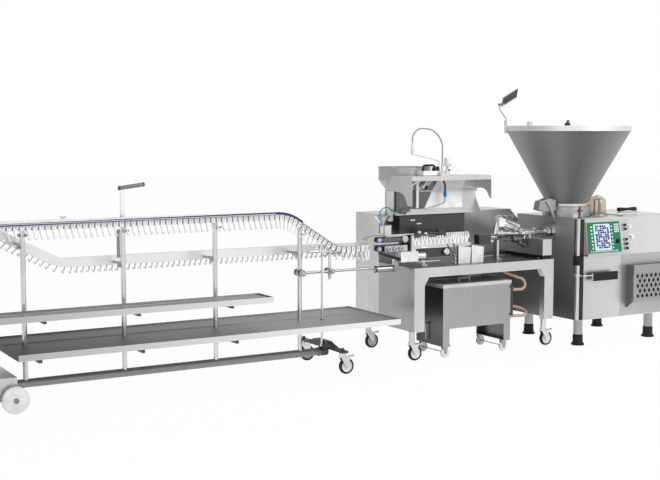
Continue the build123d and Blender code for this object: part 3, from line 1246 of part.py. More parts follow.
# Two plain wheels on one through axle
with BuildPart() as axle_wheels:
    for wheel_y in (line_y - line_wheel_half, line_y + line_wheel_half):
        bar((plain_wheel_x, wheel_y - plain_wheel_width / 2, plain_wheel_radius),
            (plain_wheel_x, wheel_y + plain_wheel_width / 2, plain_wheel_radius), plain_wheel_radius)
    axle_half = line_wheel_half + plain_wheel_width / 2 + 6
    bar((plain_wheel_x, line_y - axle_half, plain_wheel_radius),
        (plain_wheel_x, line_y + axle_half, plain_wheel_radius), through_axle_radius)
keep(axle_wheels, "axle_wheels")

# Arched beam on the base tube's right end, with the two castors under its ends
with BuildPart() as bogie_beam:
    beam_ends = (line_y - line_wheel_half - 44, line_y + line_wheel_half + 44)
    end_prism(((beam_ends[0], bogie_bottom), (beam_ends[0], bogie_bottom + 16),
               (line_y - 200, bogie_bottom + 20),
               (line_y - 90, bogie_bottom + 54), (line_y + 90, bogie_bottom + 54),
               (line_y + 200, bogie_bottom + 20), (beam_ends[1], bogie_bottom + 16),
               (beam_ends[1], bogie_bottom)),
              (bogie_x - bogie_width / 2, bogie_x + bogie_width / 2))
    bar((base_right, line_y, base_height), (base_right + 70, line_y, base_height), base_radius + 4)
    block((bogie_x - 20, bogie_x + 20), (line_y - 26, line_y + 26), (base_height + 10, bogie_bottom + 1))
    for wheel_y in (line_y - line_wheel_half, line_y + line_wheel_half):
        facet_bar((bogie_x, wheel_y, bogie_bottom + 15), (bogie_x, wheel_y, bogie_bottom + 34), 14, 6)
keep(bogie_beam, "bogie_beam")

for place, stem_y in (("front", line_y - line_wheel_half), ("rear", line_y + line_wheel_half)):
    with BuildPart() as fork:
        castor_fork((bogie_x, stem_y), bogie_bottom - seat_gap, castor_radius, castor_width,
                    castor_trail, False)
    keep(fork, f"line_fork_{place}")
    with BuildPart() as wheel:
        castor_wheel(bogie_x + castor_trail, stem_y, castor_radius, castor_width,
                     axle_radius + shaft_clearance)
    keep(wheel, f"line_wheel_{place}")

# Crank on the second post's head
with BuildPart() as crank_handle:
    crank_z = rail_height + rail_thickness + seat_gap
    crank_at = (post_x[1], line_y)
    bar((*crank_at, crank_z), (*crank_at, crank_z + 24), 17)
    block((crank_at[0] - 17, crank_at[0] + 17), (crank_at[1] - 4, crank_at[1] + 4),
          (crank_z + 20, crank_z + crank_height))
    bar((crank_at[0] - 20, line_y, crank_z + crank_height), (crank_at[0] + crank_reach - 20, line_y,
        crank_z + crank_height), 15)
keep(crank_handle, "crank_handle")

# Tie to the table: two clamps, rod with sleeve, upright rod, guide loop and link plate
with BuildPart() as tie_rod:
    rod_y = line_y - 35
    upright = (slope_foot_x - 37, line_y - 10)
    bar((post_x[3], rod_y - 25, tie_height), (post_x[3], line_y + 45, tie_height), 27)
    bar((post_x[3], line_y, tie_height - 40), (post_x[3], line_y, tie_height + 40), post_radius + seat_gap,
        mode=Mode.SUBTRACT)
    sleeve_x = (idler_x + 150, idler_x + 350)
    bar((post_x[3] - 16, rod_y, tie_height), (sleeve_x[0] + 10, rod_y, tie_height), 10)
    bar((sleeve_x[0], rod_y, tie_height - 12), (sleeve_x[1], rod_y, tie_height - 12), 25)
    bar((upright[0], rod_y - 25, tie_height), (upright[0], upright[1] + 45, tie_height), 22.5)
    bar((*upright, tie_height - 68), (*upright, low_rail_height), 13)
    loop_z = low_rail_height - 56
    loop_y = upright[1] - 12
    bent_bar(((*guide_at, base_height + 48), (*guide_at, loop_z), (upright[0] + 10, loop_y, loop_z),
              (idler_x - 130, loop_y, loop_z), (idler_x - 130, turn_y + 100, loop_z),
              (upright[0] - 70, turn_y + 100, loop_z)), 24, 9)
    block((guide_at[0] - 9, guide_at[0] + 9), (guide_at[1] - 9, guide_at[1] + 9),
          (base_height + 48, base_height + 70))
    link_x = (sleeve_x[1] - 32, sleeve_x[1] + 8)
    bar_slope = (motor_z[1] - motor_z[0] - 17) / (motor_x[0] + 4 - belt_left)
    under_bar = [motor_z[0] + 10 + (motor_x[0] + 4 - x) * bar_slope - seat_gap for x in link_x]
    side_prism(((link_x[0], tie_height - 30), (link_x[1], tie_height - 30),
                (link_x[1], under_bar[1]), (link_x[0], under_bar[0])), (rod_y - 35, rod_y - 5))
keep(tie_rod, "tie_rod")
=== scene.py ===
"""Sausage filler with its co-extrusion table and hook line: fine pieces, finishes and stage."""

from math import cos, hypot, pi, radians, sin

import bmesh
import bpy
import numpy as np
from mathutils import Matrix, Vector


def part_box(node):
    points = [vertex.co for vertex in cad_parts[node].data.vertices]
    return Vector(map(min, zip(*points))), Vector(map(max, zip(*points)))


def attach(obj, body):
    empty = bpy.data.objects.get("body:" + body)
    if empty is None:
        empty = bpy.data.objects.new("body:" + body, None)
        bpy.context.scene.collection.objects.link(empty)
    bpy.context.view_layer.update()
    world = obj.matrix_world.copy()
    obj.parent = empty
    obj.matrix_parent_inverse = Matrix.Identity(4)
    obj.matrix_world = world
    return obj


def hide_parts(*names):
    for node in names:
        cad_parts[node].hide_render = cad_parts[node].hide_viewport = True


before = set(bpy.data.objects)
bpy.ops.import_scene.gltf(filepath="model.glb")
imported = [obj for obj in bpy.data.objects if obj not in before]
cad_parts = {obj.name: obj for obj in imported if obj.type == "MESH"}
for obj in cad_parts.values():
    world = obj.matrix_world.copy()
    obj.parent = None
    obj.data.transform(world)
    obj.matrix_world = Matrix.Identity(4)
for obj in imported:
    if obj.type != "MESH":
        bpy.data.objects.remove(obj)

bl_info = {
    "name": "Sausage line",
    "version": (1, 0, 0),
    "blender": (4, 5, 0),
    "location": "3D View > Sidebar > Sausage line",
    "description": "Adds the fine pieces, finishes and stage of a sausage filling line to its CAD frame",
    "category": "Object",
}


def size_field(name, description, default):
    return bpy.props.FloatProperty(name=name, description=description, default=default, unit="LENGTH")


def colour_field(name, description, default):
    return bpy.props.FloatVectorProperty(name=name, description=description, default=default,
                                         subtype="COLOR")


class LineSizes(bpy.types.PropertyGroup):
    """Sizes of the fine pieces, in metres."""

    link_pitch: size_field("Link pitch", "Distance from link to link", 0.044)
    link_height: size_field("Link height", "From the rail's underside to the link's foot", 0.044)
    link_width: size_field("Link width", "Across the chain", 0.024)
    hook_reach: size_field("Hook reach", "How far a hook hangs below its link", 0.084)
    hook_wire: size_field("Hook thickness", "Radius of a hook's finger", 0.0058)
    strip_height: size_field("Edge strip", "Height of the violet strip on the rail", 0.017)
    hole_radius: size_field("Step hole", "Radius of a hole in the folding step", 0.0165)


class LineColours(bpy.types.PropertyGroup):
    """Colours of the finishes."""

    steel: colour_field("Steel", "Brushed sheet steel", (0.62, 0.62, 0.615))
    dark_steel: colour_field("Dark steel", "Steel that stands in shade", (0.33, 0.33, 0.33))
    rubber: colour_field("Rubber", "Tyres, boots and grips", (0.012, 0.012, 0.013))
    plastic: colour_field("White plastic", "Links, hooks and wheels", (0.78, 0.78, 0.77))
    violet: colour_field("Violet", "Belts and edge strip", (0.035, 0.025, 0.16))
    green: colour_field("Panel green", "Face of the control panel", (0.012, 0.19, 0.095))
    screen: colour_field("Screen", "Lit screen", (0.60, 0.70, 0.92))


# Surfaces

X, Y, Z = (1, 0, 0), (0, 1, 0), (0, 0, 1)


def unit(vector):
    """Vector of length 1 the same way."""
    vector = np.array(vector, float)
    return vector / np.linalg.norm(vector)


def lattice(rows, columns, close_rows=False):
    """Four-sided faces of a grid closed along its rows: (i, j), (i + 1, j), (i + 1, j + 1), (i, j + 1)."""
    i, j = np.meshgrid(np.arange(rows if close_rows else rows - 1), np.arange(columns), indexing="ij")
    down, along = (i + 1) % rows, (j + 1) % columns
    corners = (i * columns + j, down * columns + j, down * columns + along, i * columns + along)
    return np.stack(corners, -1).reshape(-1, 4).tolist()


def crosswise(axis):
    """Unit vector along an axis, and two square to it and to each other."""
    a = unit(axis)
    u = unit(np.cross(a, Z if abs(a[2]) < 0.9 else X))
    return a, u, np.cross(a, u)


def lathe(profile, centre, axis, steps=40, ring=False):
    """Outline of (radius r, height h) turned about an axis: p = c + h a + r (u cos t + v sin t).
    A ring's outline is closed, and any other ends in flat caps."""
    a, u, v = crosswise(axis)
    r, h = np.array(profile, float).T
    t = np.linspace(0, 2 * pi, steps, endpoint=False)
    around = np.cos(t)[:, None] * u + np.sin(t)[:, None] * v
    points = np.array(centre, float) + h[:, None, None] * a + r[:, None, None] * around
    faces = lattice(len(r), steps, close_rows=ring)
    if not ring:
        faces += [list(range(steps)), list(range((len(r) - 1) * steps, len(r) * steps))]
    return points.reshape(-1, 3), faces


def tube(path, radius, side=Y, sides=12, flat=1.0):
    """Circle carried along a path c(s): p = c + r (b cos t + f n sin t), b the side vector, n = b x c'."""
    path = np.array(path, float)
    tangent = np.gradient(path, axis=0)
    tangent /= np.linalg.norm(tangent, axis=1)[:, None]
    b = np.array(side, float) - (tangent @ np.array(side, float))[:, None] * tangent
    b /= np.linalg.norm(b, axis=1)[:, None]
    n = np.cross(b, tangent)
    r = np.broadcast_to(np.array(radius, float), len(path))[:, None, None]
    t = np.linspace(0, 2 * pi, sides, endpoint=False)
    points = path[:, None] + r * (b[:, None] * np.cos(t)[:, None] + flat * n[:, None] * np.sin(t)[:, None])
    faces = lattice(len(path), sides)
    faces += [list(range(sides)), list(range((len(path) - 1) * sides, len(path) * sides))]
    return points.reshape(-1, 3), faces


def prism(outline, plane, low, high):
    """Outline drawn in the plane square to axis number plane (0 x, 1 y, 2 z), carried from low to high."""
    outline = np.array(outline, float)
    count = len(outline)
    ends = [np.insert(outline, plane, level, axis=1) for level in (low, high)]
    faces = lattice(2, count)
    faces += [list(range(count)), list(range(count, 2 * count))]
    return np.concatenate(ends), faces


def box(low, high, chamfer=0.0):
    """Block between two corners, its upright edges cut at 45 degrees."""
    (x0, y0, z0), (x1, y1, z1) = low, high
    c = chamfer
    outline = ((x0 + c, y0), (x1 - c, y0), (x1, y0 + c), (x1, y1 - c), (x1 - c, y1), (x0 + c, y1),
               (x0, y1 - c), (x0, y0 + c)) if c else ((x0, y0), (x1, y0), (x1, y1), (x0, y1))
    return prism(outline, 2, z0, z1)


def rounded(corners, radius, steps=8):
    """Path through corners, each rounded by an arc: c = q + r (e1 cos t + e2 sin t)."""
    corners = np.array(corners, float)
    path = [corners[:1]]
    for before, corner, after in zip(corners, corners[1:], corners[2:]):
        back, on = unit(before - corner), unit(after - corner)
        half = np.arccos(np.clip(back @ on, -1, 1)) / 2
        reach = min(radius / np.tan(half), 0.49 * np.linalg.norm(before - corner),
                    0.49 * np.linalg.norm(after - corner))
        r = reach * np.tan(half)
        middle = corner + unit(back + on) * hypot(reach, r)
        e1 = (corner + back * reach - middle) / r
        e2 = unit(on - (on @ e1) * e1)
        t = np.linspace(0, pi - 2 * half, steps)[:, None]
        path.append(middle + r * (e1 * np.cos(t) + e2 * np.sin(t)))
    return np.concatenate(path + [corners[-1:]])


def collar(centre, axis, inner, outer, height):
    """Ring with chamfered edges round a tube."""
    c = min(0.002, (outer - inner) / 3)
    return lathe(((inner, 0), (outer - c, 0), (outer, c), (outer, height - c), (outer - c, height),
                  (inner, height)), centre, axis, 28, ring=True)


def rod(start, end, radius, sides=14):
    """Straight rod with chamfered ends between two points."""
    way = np.subtract(end, start)
    length = np.linalg.norm(way)
    c = min(0.25 * radius, 0.2 * length)
    outline = ((radius - c, 0), (radius, c), (radius, length - c), (radius - c, length))
    return lathe(outline, start, way, sides)


def bar(start, axis, reach, radius, sides=14):
    """Straight rod along an axis, forwards or backwards by its reach."""
    return rod(start, np.add(start, reach * np.array(axis)), radius, sides)


def hose(corners, radius, bend):
    """Hose that runs through smoothly rounded corners."""
    path = rounded(corners, bend, 12)
    step = np.linalg.norm(np.diff(path, axis=0), axis=1)
    path = path[np.concatenate(([True], step > 1e-5))]
    side = np.cross(path[1] - path[0], path[-1] - path[0])
    side = side if np.linalg.norm(side) > 1e-6 else crosswise(path[-1] - path[0])[1]
    return tube(path, radius, side=unit(side), sides=14)


def joined(*shapes):
    """Several shapes as one."""
    points, faces, start = [], [], 0
    for shape_points, shape_faces in shapes:
        points.append(shape_points)
        faces += [[start + corner for corner in face] for face in shape_faces]
        start += len(shape_points)
    return np.concatenate(points), faces


def repeated(shape, frames):
    """Shape set down once in each frame: p' = o + x e1 + y e2 + z e3, for frames of rows (o, e1, e2, e3)."""
    points, faces = shape
    frames = np.array(frames, float)
    copies = frames[:, None, 0] + np.einsum("pk,fkc->fpc", points, frames[:, 1:])
    count = len(points)
    faces = [[start + corner for corner in face]
             for start in range(0, count * len(frames), count) for face in faces]
    return copies.reshape(-1, 3), faces


def leaning(origin, along, up):
    """Gives the function that sets shapes, drawn x along, y up and z outwards, on a leaning plane."""
    axes = [np.stack((np.array(origin, float), along, up, np.cross(along, up)))]
    return lambda *shapes: repeated(joined(*shapes), axes)


# Slot for each finish, unless a piece is told another; add_piece works it out but gives it to no piece
SLOTS = {
    "steel bright": "bright_steel", "steel pale": "bright_steel", "steel mid": "brushed_steel",
    "steel sheet": "brushed_steel", "steel dark": "brushed_steel", "steel cast": "cast_steel",
    "steel shade": "cast_steel", "steel deep shade": "cast_steel", "steel black": "cast_steel",
    "rubber": "black_rubber", "plastic white": "white_plastic", "plastic bright": "white_plastic",
    "plastic violet": "violet_belt", "plastic clear": "clear_plastic", "panel green": "panel_green",
    "screen": "clear_plastic", "ink blue": "clear_plastic", "glass tinted": "tinted_glass",
    "mirror glass": "mirror_glass", "hose tan": "tan_hose",
}


def add_piece(name, shapes, finish, body="line_frame", slot=None, replaces=None, bevel=0.0):
    """Makes a shape, or a list of shapes, a finished piece that rides on a body."""
    points, faces = joined(*shapes) if isinstance(shapes, list) else shapes
    mesh = bpy.data.meshes.new(name)
    mesh.from_pydata(points, [], faces)
    sculpt = bmesh.new()
    sculpt.from_mesh(mesh)
    bmesh.ops.recalc_face_normals(sculpt, faces=sculpt.faces)
    sculpt.to_mesh(mesh)
    sculpt.free()
    mesh.shade_smooth()
    mesh.set_sharp_from_angle(angle=radians(35))
    mesh.materials.append(bpy.data.materials[finish])
    piece = bpy.data.objects.new(name, mesh)
    bpy.context.scene.collection.objects.link(piece)
    if bevel:
        edge = piece.modifiers.new("Edges", "BEVEL")
        edge.width = bevel
        edge.segments = 2
        edge.limit_method = "ANGLE"
        edge.angle_limit = radians(40)
        edge.harden_normals = True
    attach(piece, body)
    if replaces:
        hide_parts(replaces)
    slot = slot or SLOTS.get(finish)


# Finishes

class Nodes:
    """Node tree of a material or world under way."""

    def __init__(self, owner):
        owner.use_nodes = True
        self.nodes = owner.node_tree.nodes
        self.links = owner.node_tree.links

    def feed(self, target, value):
        """Joins an input to an output, or sets it to a value."""
        if isinstance(value, bpy.types.NodeSocket):
            self.links.new(value, target)
        else:
            target.default_value = value

    def add(self, kind, sockets, output=0, **settings):
        """New node with its settings and inputs. Gives one of its outputs."""
        node = self.nodes.new(kind)
        for name, value in settings.items():
            setattr(node, name, value)
        for key, value in sockets.items():
            self.feed(node.inputs[key], value)
        return node.outputs[output]

    def larger(self, first, second):
        """The larger of two values."""
        return self.add("ShaderNodeMath", {0: first, 1: second}, operation="MAXIMUM")

    def spread(self, value, low, high, start=0.3, end=0.7, **settings):
        """A value between start and end, as one from low to high."""
        sockets = {"Value": value, "From Min": start, "From Max": end, "To Min": low, "To Max": high}
        return self.add("ShaderNodeMapRange", sockets, **settings)


class Finish(Nodes):
    """Material under way, in object coordinates."""

    def __init__(self, name, colour, metallic, roughness):
        super().__init__(bpy.data.materials.new(name))
        self.inputs = self.nodes["Principled BSDF"].inputs
        self.give("Base Color", (*colour, 1))
        self.give("Metallic", metallic)
        self.give("Roughness", roughness)
        self.place = self.add("ShaderNodeTexCoord", {}, "Object")

    def give(self, name, value):
        self.feed(self.inputs[name], value)

    def noise(self, scale, detail=3.0, stretch=(1, 1, 1)):
        """Noise, stretched along one way."""
        place = self.add("ShaderNodeMapping", {"Vector": self.place, "Scale": stretch})
        return self.add("ShaderNodeTexNoise", {"Vector": place, "Scale": scale, "Detail": detail})

    def tint(self, colour, factor):
        """Base colour multiplied by a factor."""
        self.give("Base Color", self.add("ShaderNodeVectorMath", {0: colour, "Scale": factor},
                                         operation="SCALE"))

    def bump(self, height, strength, distance):
        self.give("Normal", self.add("ShaderNodeBump", {"Height": height, "Strength": strength,
                                                        "Distance": distance}))


def grey(tone):
    return (tone, tone, tone)


# Scratches in a metre of brushed steel, across them and along them
ACROSS, ALONG = 160.0, 2.5

# Level ways to the camera's right and away from it
CAMERA_RIGHT, CAMERA_AWAY = (0.864, -0.504, 0), (0.5018, 0.8601, 0.0)


def brushed(name, colour, roughness, along=0):
    """Steel with fine scratches along one axis and faint cloudy wear."""
    stretch = [ACROSS, ACROSS, ACROSS]
    stretch[along] = ALONG
    finish = Finish(name, colour, 1.0, roughness)
    scratches = finish.noise(1.0, 2.0, stretch)
    clouds = finish.noise(2.6, 4.0)
    finish.tint(colour, finish.spread(clouds, 0.92, 1.06))
    finish.give("Roughness", finish.spread(scratches, roughness - 0.07, roughness + 0.1))
    finish.bump(scratches, 0.12, 0.0006)


def cone_painted_light(name, centre, roughness):
    """Rolled cone with painted light and shade, its tone changing round its axis from the camera's left (0)
    to its right (1).
    """
    finish = Finish(name, grey(0.3), 0.45, roughness)
    level = finish.add("ShaderNodeVectorMath", {0: finish.place, 1: (1, 1, 0)}, operation="MULTIPLY")
    out = finish.add("ShaderNodeVectorMath", {0: level, 1: (*centre, 0)}, operation="SUBTRACT")
    way = finish.add("ShaderNodeVectorMath", {0: out}, operation="NORMALIZE")
    turn = finish.add("ShaderNodeVectorMath", {0: way, 1: CAMERA_RIGHT}, "Value",
                      operation="DOT_PRODUCT")
    tones = finish.add("ShaderNodeValToRGB", {"Fac": finish.spread(turn, 0, 1, -1, 1)})
    ramp = tones.node.color_ramp
    ramp.interpolation = "B_SPLINE"
    stops = ((0.0, 0.34), (0.16, 0.30), (0.30, 0.27), (0.42, 0.14), (0.60, 0.11), (0.85, 0.26), (1.0, 0.30))
    for index, (spot, tone) in enumerate(stops):
        stop = ramp.elements[index] if index < 2 else ramp.elements.new(spot)
        stop.position = spot
        stop.color = (*grey(tone), 1)
    lines = finish.noise(3.0, 3.0, (1, 1, 30))
    finish.tint(tones, finish.spread(lines, 0.96, 1.04))
    finish.bump(lines, 0.05, 0.0006)


def painted_shading_ramp(name, tones, span, axis="Z", roughness=0.36, metallic=1.0):
    """Brushed steel with painted shading, its tone running evenly from one level of an axis to another."""
    finish = Finish(name, grey(tones[0]), metallic, roughness)
    level = finish.add("ShaderNodeSeparateXYZ", {"Vector": finish.place}, axis)
    finish.tint(grey(1.0), finish.spread(level, *tones, *span))
    finish.bump(finish.noise(1.0, 2.0, (ACROSS, ACROSS, ALONG)), 0.1, 0.0006)


def satin(name, colour, roughness, metallic=1.0, grain=60.0, strength=0.05):
    """Turned, blasted or cast metal with an even fine grain."""
    finish = Finish(name, colour, metallic, roughness)
    grains = finish.noise(grain)
    finish.tint(colour, finish.spread(finish.noise(5.0), 0.88, 1.1))
    finish.give("Roughness", finish.spread(grains, roughness - 0.05, roughness + 0.08))
    finish.bump(grains, strength, 0.0008)


def moulded(name, colour, roughness, grain=220.0, strength=0.08):
    """Rubber or plastic with a faint texture and scuffs."""
    finish = Finish(name, colour, 0.0, roughness)
    scuffs = finish.noise(14.0, 4.0)
    finish.tint(colour, finish.spread(scuffs, 0.86, 1.08))
    finish.give("Roughness", finish.spread(scuffs, roughness - 0.06, roughness + 0.1))
    finish.give("Specular IOR Level", 0.25)
    finish.bump(finish.noise(grain, 2.0), strength, 0.0005)


def clear(name, colour, roughness, transmission):
    """Glass or clear plastic with faint smears."""
    finish = Finish(name, colour, 0.0, roughness)
    finish.give("Transmission Weight", transmission)
    finish.give("IOR", 1.45)
    smears = finish.noise(9.0, 4.0, (1, 1, 3))
    finish.tint(colour, finish.spread(smears, 0.94, 1.03))
    finish.give("Roughness", finish.spread(smears, roughness, roughness + 0.08))


def ribbed_hose(name, colour, pitch):
    """Hose with fine windings and darker dirt in patches."""
    finish = Finish(name, colour, 0.0, 0.45)
    finish.tint(colour, finish.spread(finish.noise(30.0), 0.85, 1.08))
    finish.bump(finish.noise(0.35, 0.0, grey(1 / pitch)), 0.4, 0.001)


def lit_screen(name, colour):
    """Screen that glows a little, its tone changing softly across it."""
    finish = Finish(name, colour, 0.0, 0.25)
    finish.tint(colour, finish.spread(finish.noise(6.0, 1.0), 0.92, 1.05))
    finish.give("Emission Color", (*colour, 1))
    finish.give("Emission Strength", 0.05)


def make_finishes(colours):
    """Every finish of the line, by name."""
    brushed("steel along", colours.steel, 0.34)
    brushed("steel upright", colours.steel, 0.34, along=2)
    brushed("steel dark", colours.dark_steel, 0.32)
    brushed("steel tray", grey(0.36), 0.36)
    brushed("steel pale", grey(0.84), 0.42)
    brushed("steel sheet", grey(0.52), 0.42)
    brushed("steel mid", grey(0.40), 0.34, along=2)
    # Two dark copies of the brushed steel: the first for some darker small parts and for painted shade, the
    # second only for painted shade
    brushed("steel shade", grey(0.22), 0.3, along=2)
    brushed("steel deep shade", grey(0.16), 0.3, along=2)
    # Painted light and shade round the hopper, set by the way to the camera
    cone_painted_light("steel hopper", (2.25, -0.045), 0.5)
    # Painted shading: the filler's side, the table's inner wall and the tank's side darker low down, the
    # trays' lips and the filler's front lighter towards +x, the lower tray darker towards -x
    painted_shading_ramp("steel side shade", (0.075, 0.40), (0.28, 1.08), metallic=0.4)
    painted_shading_ramp("steel inner shade", (0.20, 0.34), (0.24, 0.75), metallic=0.3)
    painted_shading_ramp("steel lip shading", (0.46, 0.86), (-2.9, -0.2), "X")
    painted_shading_ramp("steel front shading", (0.60, 0.74), (2.1, 2.9), "X")
    painted_shading_ramp("steel tank side shade", (0.10, 0.30), (0.12, 0.60))
    painted_shading_ramp("steel tray low shade", (0.135, 0.46), (-2.8, 0.1), "X", roughness=0.6)
    satin("steel base", grey(0.28), 0.3, metallic=0.5)
    satin("steel lid", grey(0.58), 0.38, metallic=0.3)
    satin("steel bright", grey(0.68), 0.18)
    satin("steel cast", grey(0.40), 0.36, grain=90.0, strength=0.2)
    satin("steel black", grey(0.09), 0.42, grain=90.0, strength=0.25)
    satin("mirror glass", (0.45, 0.45, 0.46), 0.06, grain=20.0, strength=0.01)
    moulded("rubber", colours.rubber, 0.5)
    moulded("plastic white", colours.plastic, 0.35, grain=120.0, strength=0.04)
    moulded("plastic bright", (0.93, 0.93, 0.92), 0.4, grain=120.0, strength=0.03)
    moulded("plastic violet", colours.violet, 0.4)
    moulded("plastic blue", (0.01, 0.20, 0.50), 0.35)
    moulded("panel green", colours.green, 0.35, strength=0.03)
    moulded("ink blue", (0.008, 0.014, 0.10), 0.4)
    lit_screen("screen", colours.screen)
    ribbed_hose("hose tan", (0.50, 0.37, 0.26), 0.004)
    ribbed_hose("hose steel", (0.30, 0.30, 0.31), 0.003)
    clear("glass tinted", (0.82, 0.745, 0.68), 0.06, 0.92)
    clear("glass smoked", (0.075, 0.078, 0.08), 0.14, 0.45)
    clear("plastic clear", (0.62, 0.62, 0.66), 0.06, 0.8)


NODES_BY_FINISH = {
    "steel bright": ("pump_casting", "feed_auger", "front_screw", "rear_screw", "knee_lever", "mirror_arm",
                     "filling_pipe", "coextrusion_head", "linker_body", "table_fork_left",
                     "table_fork_right", "tie_rod", "line_fork_front", "line_fork_rear"),
    "steel upright": ("control_panel", "rear_cabinet", "upper_rail", "chain_drive"),
    "steel cast": ("lock_lever", "upper_belt_wheel", "lower_belt_wheel"),
    # Painted light across the filler's front and lid, lighter towards +x
    "steel front shading": ("filler_housing", "top_lid"),
    "steel along": ("table_frame", "hood"),
    "steel black": ("valve_lever", "bogie_beam"),
    "plastic white": ("stop_button", "start_button", "link_cups", "drive_wheel", "idler_wheel"),
    # Painted light and shade round the hopper
    "steel hopper": ("hopper",),
    "steel sheet": ("gel_hopper",),
    "steel mid": ("tank",),
    "steel lid": ("tank_lid",),
    "steel base": ("base_tube",),
    "steel pale": ("return_rail",),
    "steel tray": ("upper_tray",),
    # Painted shade: the lower tray darker towards -x
    "steel tray low shade": ("lower_tray",),
    "glass smoked": ("guard_flap",),
    "plastic violet": ("linker_belts",),
    "hose steel": ("spray_hose",),
}


# Regions of a node in another finish: node, finish, lowest and highest corner in metres
PAINTED = (
    # Painted shade on the filler: its left side darker low down, the corner notch by the column, and the
    # faces by the folding step
    ("filler_housing", "steel side shade", (2.0, -0.42, 0.2), (2.067, 0.42, 1.099)),
    ("filler_housing", "steel shade", (2.0675, -0.51, 0.2), (2.14, -0.3, 1.09)),
    ("filler_housing", "steel shade", (2.6, -0.51, 0.2), (3.0, -0.418, 0.9)),
    ("filler_housing", "steel bright", (2.04, -0.44, 0.2), (2.125, -0.34, 1.09)),
    ("filler_housing", "steel mid", (2.0, -0.6, 0.05), (3.3, 0.6, 0.2195)),
    ("pump_casting", "steel mid", (1.7, -0.6, 1.11), (2.06, 0.6, 1.40)),
    ("filler_housing", "rubber", (2.04, -0.43, 0.707), (2.13, -0.35, 0.775)),
    ("hopper", "steel pale", (1.6, -1.0, 1.849), (2.9, 1.0, 2.0)),
    ("hopper", "steel bright", (1.6, -1.0, 1.19), (2.9, 1.0, 1.216)),
    ("knee_lever", "rubber", (2.2, -0.475, 0.55), (2.5, -0.43, 0.64)),
    ("hood", "rubber", (0.74, 0.05, 1.49), (0.92, 0.10, 1.58)),
    ("hood", "plastic white", (0.90, 0.0, 1.507), (1.05, 0.08, 1.64)),
    ("spray_hose", "plastic white", (0.60, 0.0, 1.5), (0.68, 0.06, 1.76)),
    # Painted light: the steel splash plates made white where they are lit
    ("link_cups", "plastic white", (0.9, -0.2, 0.7), (1.3, -0.17, 0.95)),
    ("linker_body", "rubber", (0.17, -0.21, 0.78), (0.385, -0.16, 0.895)),
    ("linker_body", "plastic white", (0.376, -0.21, 0.80), (0.55, -0.12, 0.89)),
    ("tie_rod", "steel mid", (-0.60, -0.2, 0.72), (0.39, 0.0, 0.80)),
    # Painted shade on the table: its left side, its inner walls and the underside of its top; a painted dark
    # reflection on its top
    ("table_frame", "steel mid", (0.43, -0.31, 0.24), (0.4405, 0.23, 0.76)),
    ("table_frame", "steel inner shade", (1.88, -0.3, 0.24), (1.8845, 0.23, 0.754)),
    ("table_frame", "steel deep shade", (0.441, -0.3, 0.24), (0.4445, 0.23, 0.754)),
    ("table_frame", "steel deep shade", (0.44, -0.3, 0.7535), (1.89, 0.23, 0.7545)),
    ("table_frame", "steel shade", (0.44, -0.31, 0.7568), (1.784, 0.23, 0.7575)),
    ("table_frame", "rubber", (1.78, -0.29, 0.758), (1.89, 0.23, 0.7865)),
    # Painted shade: the cabinet's front, the tank's left side darker low down, and the tank's right leg
    ("rear_cabinet", "steel mid", (0.43, 0.22, 0.24), (1.93, 0.226, 1.158)),
    ("tank", "steel tank side shade", (0.729, -0.3, 0.09), (0.7305, 0.09, 0.6)),
    ("tank", "steel deep shade", (1.39, -0.3, 0.05), (1.46, 0.09, 0.24)),
    # Painted light along the trays' lips, lighter towards +x
    ("upper_tray", "steel lip shading", (-3.0, -0.376, 0.5), (-0.8, -0.372, 0.7)),
    ("lower_tray", "steel lip shading", (-3.0, -0.496, 0.3), (0.2, -0.492, 0.5)),
    ("lower_tray", "steel along", (0.18, -0.5, 0.3), (0.2, 0.3, 0.5)),
)


def paint(node, material, low, high):
    """Puts the faces whose middle lies in a box in another finish."""
    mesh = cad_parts[node].data
    mesh.materials.append(bpy.data.materials[material])
    centres = np.zeros(len(mesh.polygons) * 3)
    mesh.polygons.foreach_get("center", centres)
    centres = centres.reshape(-1, 3)
    inside = np.all((centres > low) & (centres < high), axis=1)
    chosen = np.zeros(len(mesh.polygons), np.int32)
    mesh.polygons.foreach_get("material_index", chosen)
    chosen[inside] = len(mesh.materials) - 1
    mesh.polygons.foreach_set("material_index", chosen)


class LINE_OT_finishes(bpy.types.Operator):
    """Give every carried-over node its finish"""

    bl_idname = "line.finishes"
    bl_label = "Finishes"

    def execute(self, context):
        make_finishes(context.scene.line_colours)
        for finish, nodes in NODES_BY_FINISH.items():
            for node in nodes:
                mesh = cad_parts[node].data
                mesh.materials.clear()
                mesh.materials.append(bpy.data.materials[finish])
        for region in PAINTED:
            paint(*region)
        return {"FINISHED"}


# Wheels and boots

CASTORS = ("table_wheel_front_left", "table_wheel_front_right", "table_wheel_rear_left",
           "table_wheel_rear_right", "line_wheel_front", "line_wheel_rear")

# Plain wheels and the width of each of a pair
PLAIN_WHEELS = (("tank_wheels_left", 0.022), ("tank_wheels_right", 0.022), ("axle_wheels", 0.038))

# One side of a wheel, in shares of its radius and half width, from the bore to the rim
DISC_SIDE = ((0.10, 0.95), (0.19, 0.95), (0.22, 0.6), (0.30, 0.35), (0.58, 0.35), (0.66, 0.8), (0.74, 0.8))
PLAIN_SIDE = ((0.12, 1.0), (0.88, 1.0), (0.97, 0.8), (1.0, 0.4))


def wheel_place(node):
    """Centre, radius and half width of a wheel node."""
    low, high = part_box(node)
    return (low + high) / 2, (high.z - low.z) / 2, (high.y - low.y) / 2


def wheel(side, centre, radius, half, steps=40):
    """Wheel turned from one side's outline and its mirror image."""
    outline = [(r * radius, -h * half) for r, h in side] + [(r * radius, h * half) for r, h in side[::-1]]
    return lathe(outline, centre, Y, steps, ring=True)


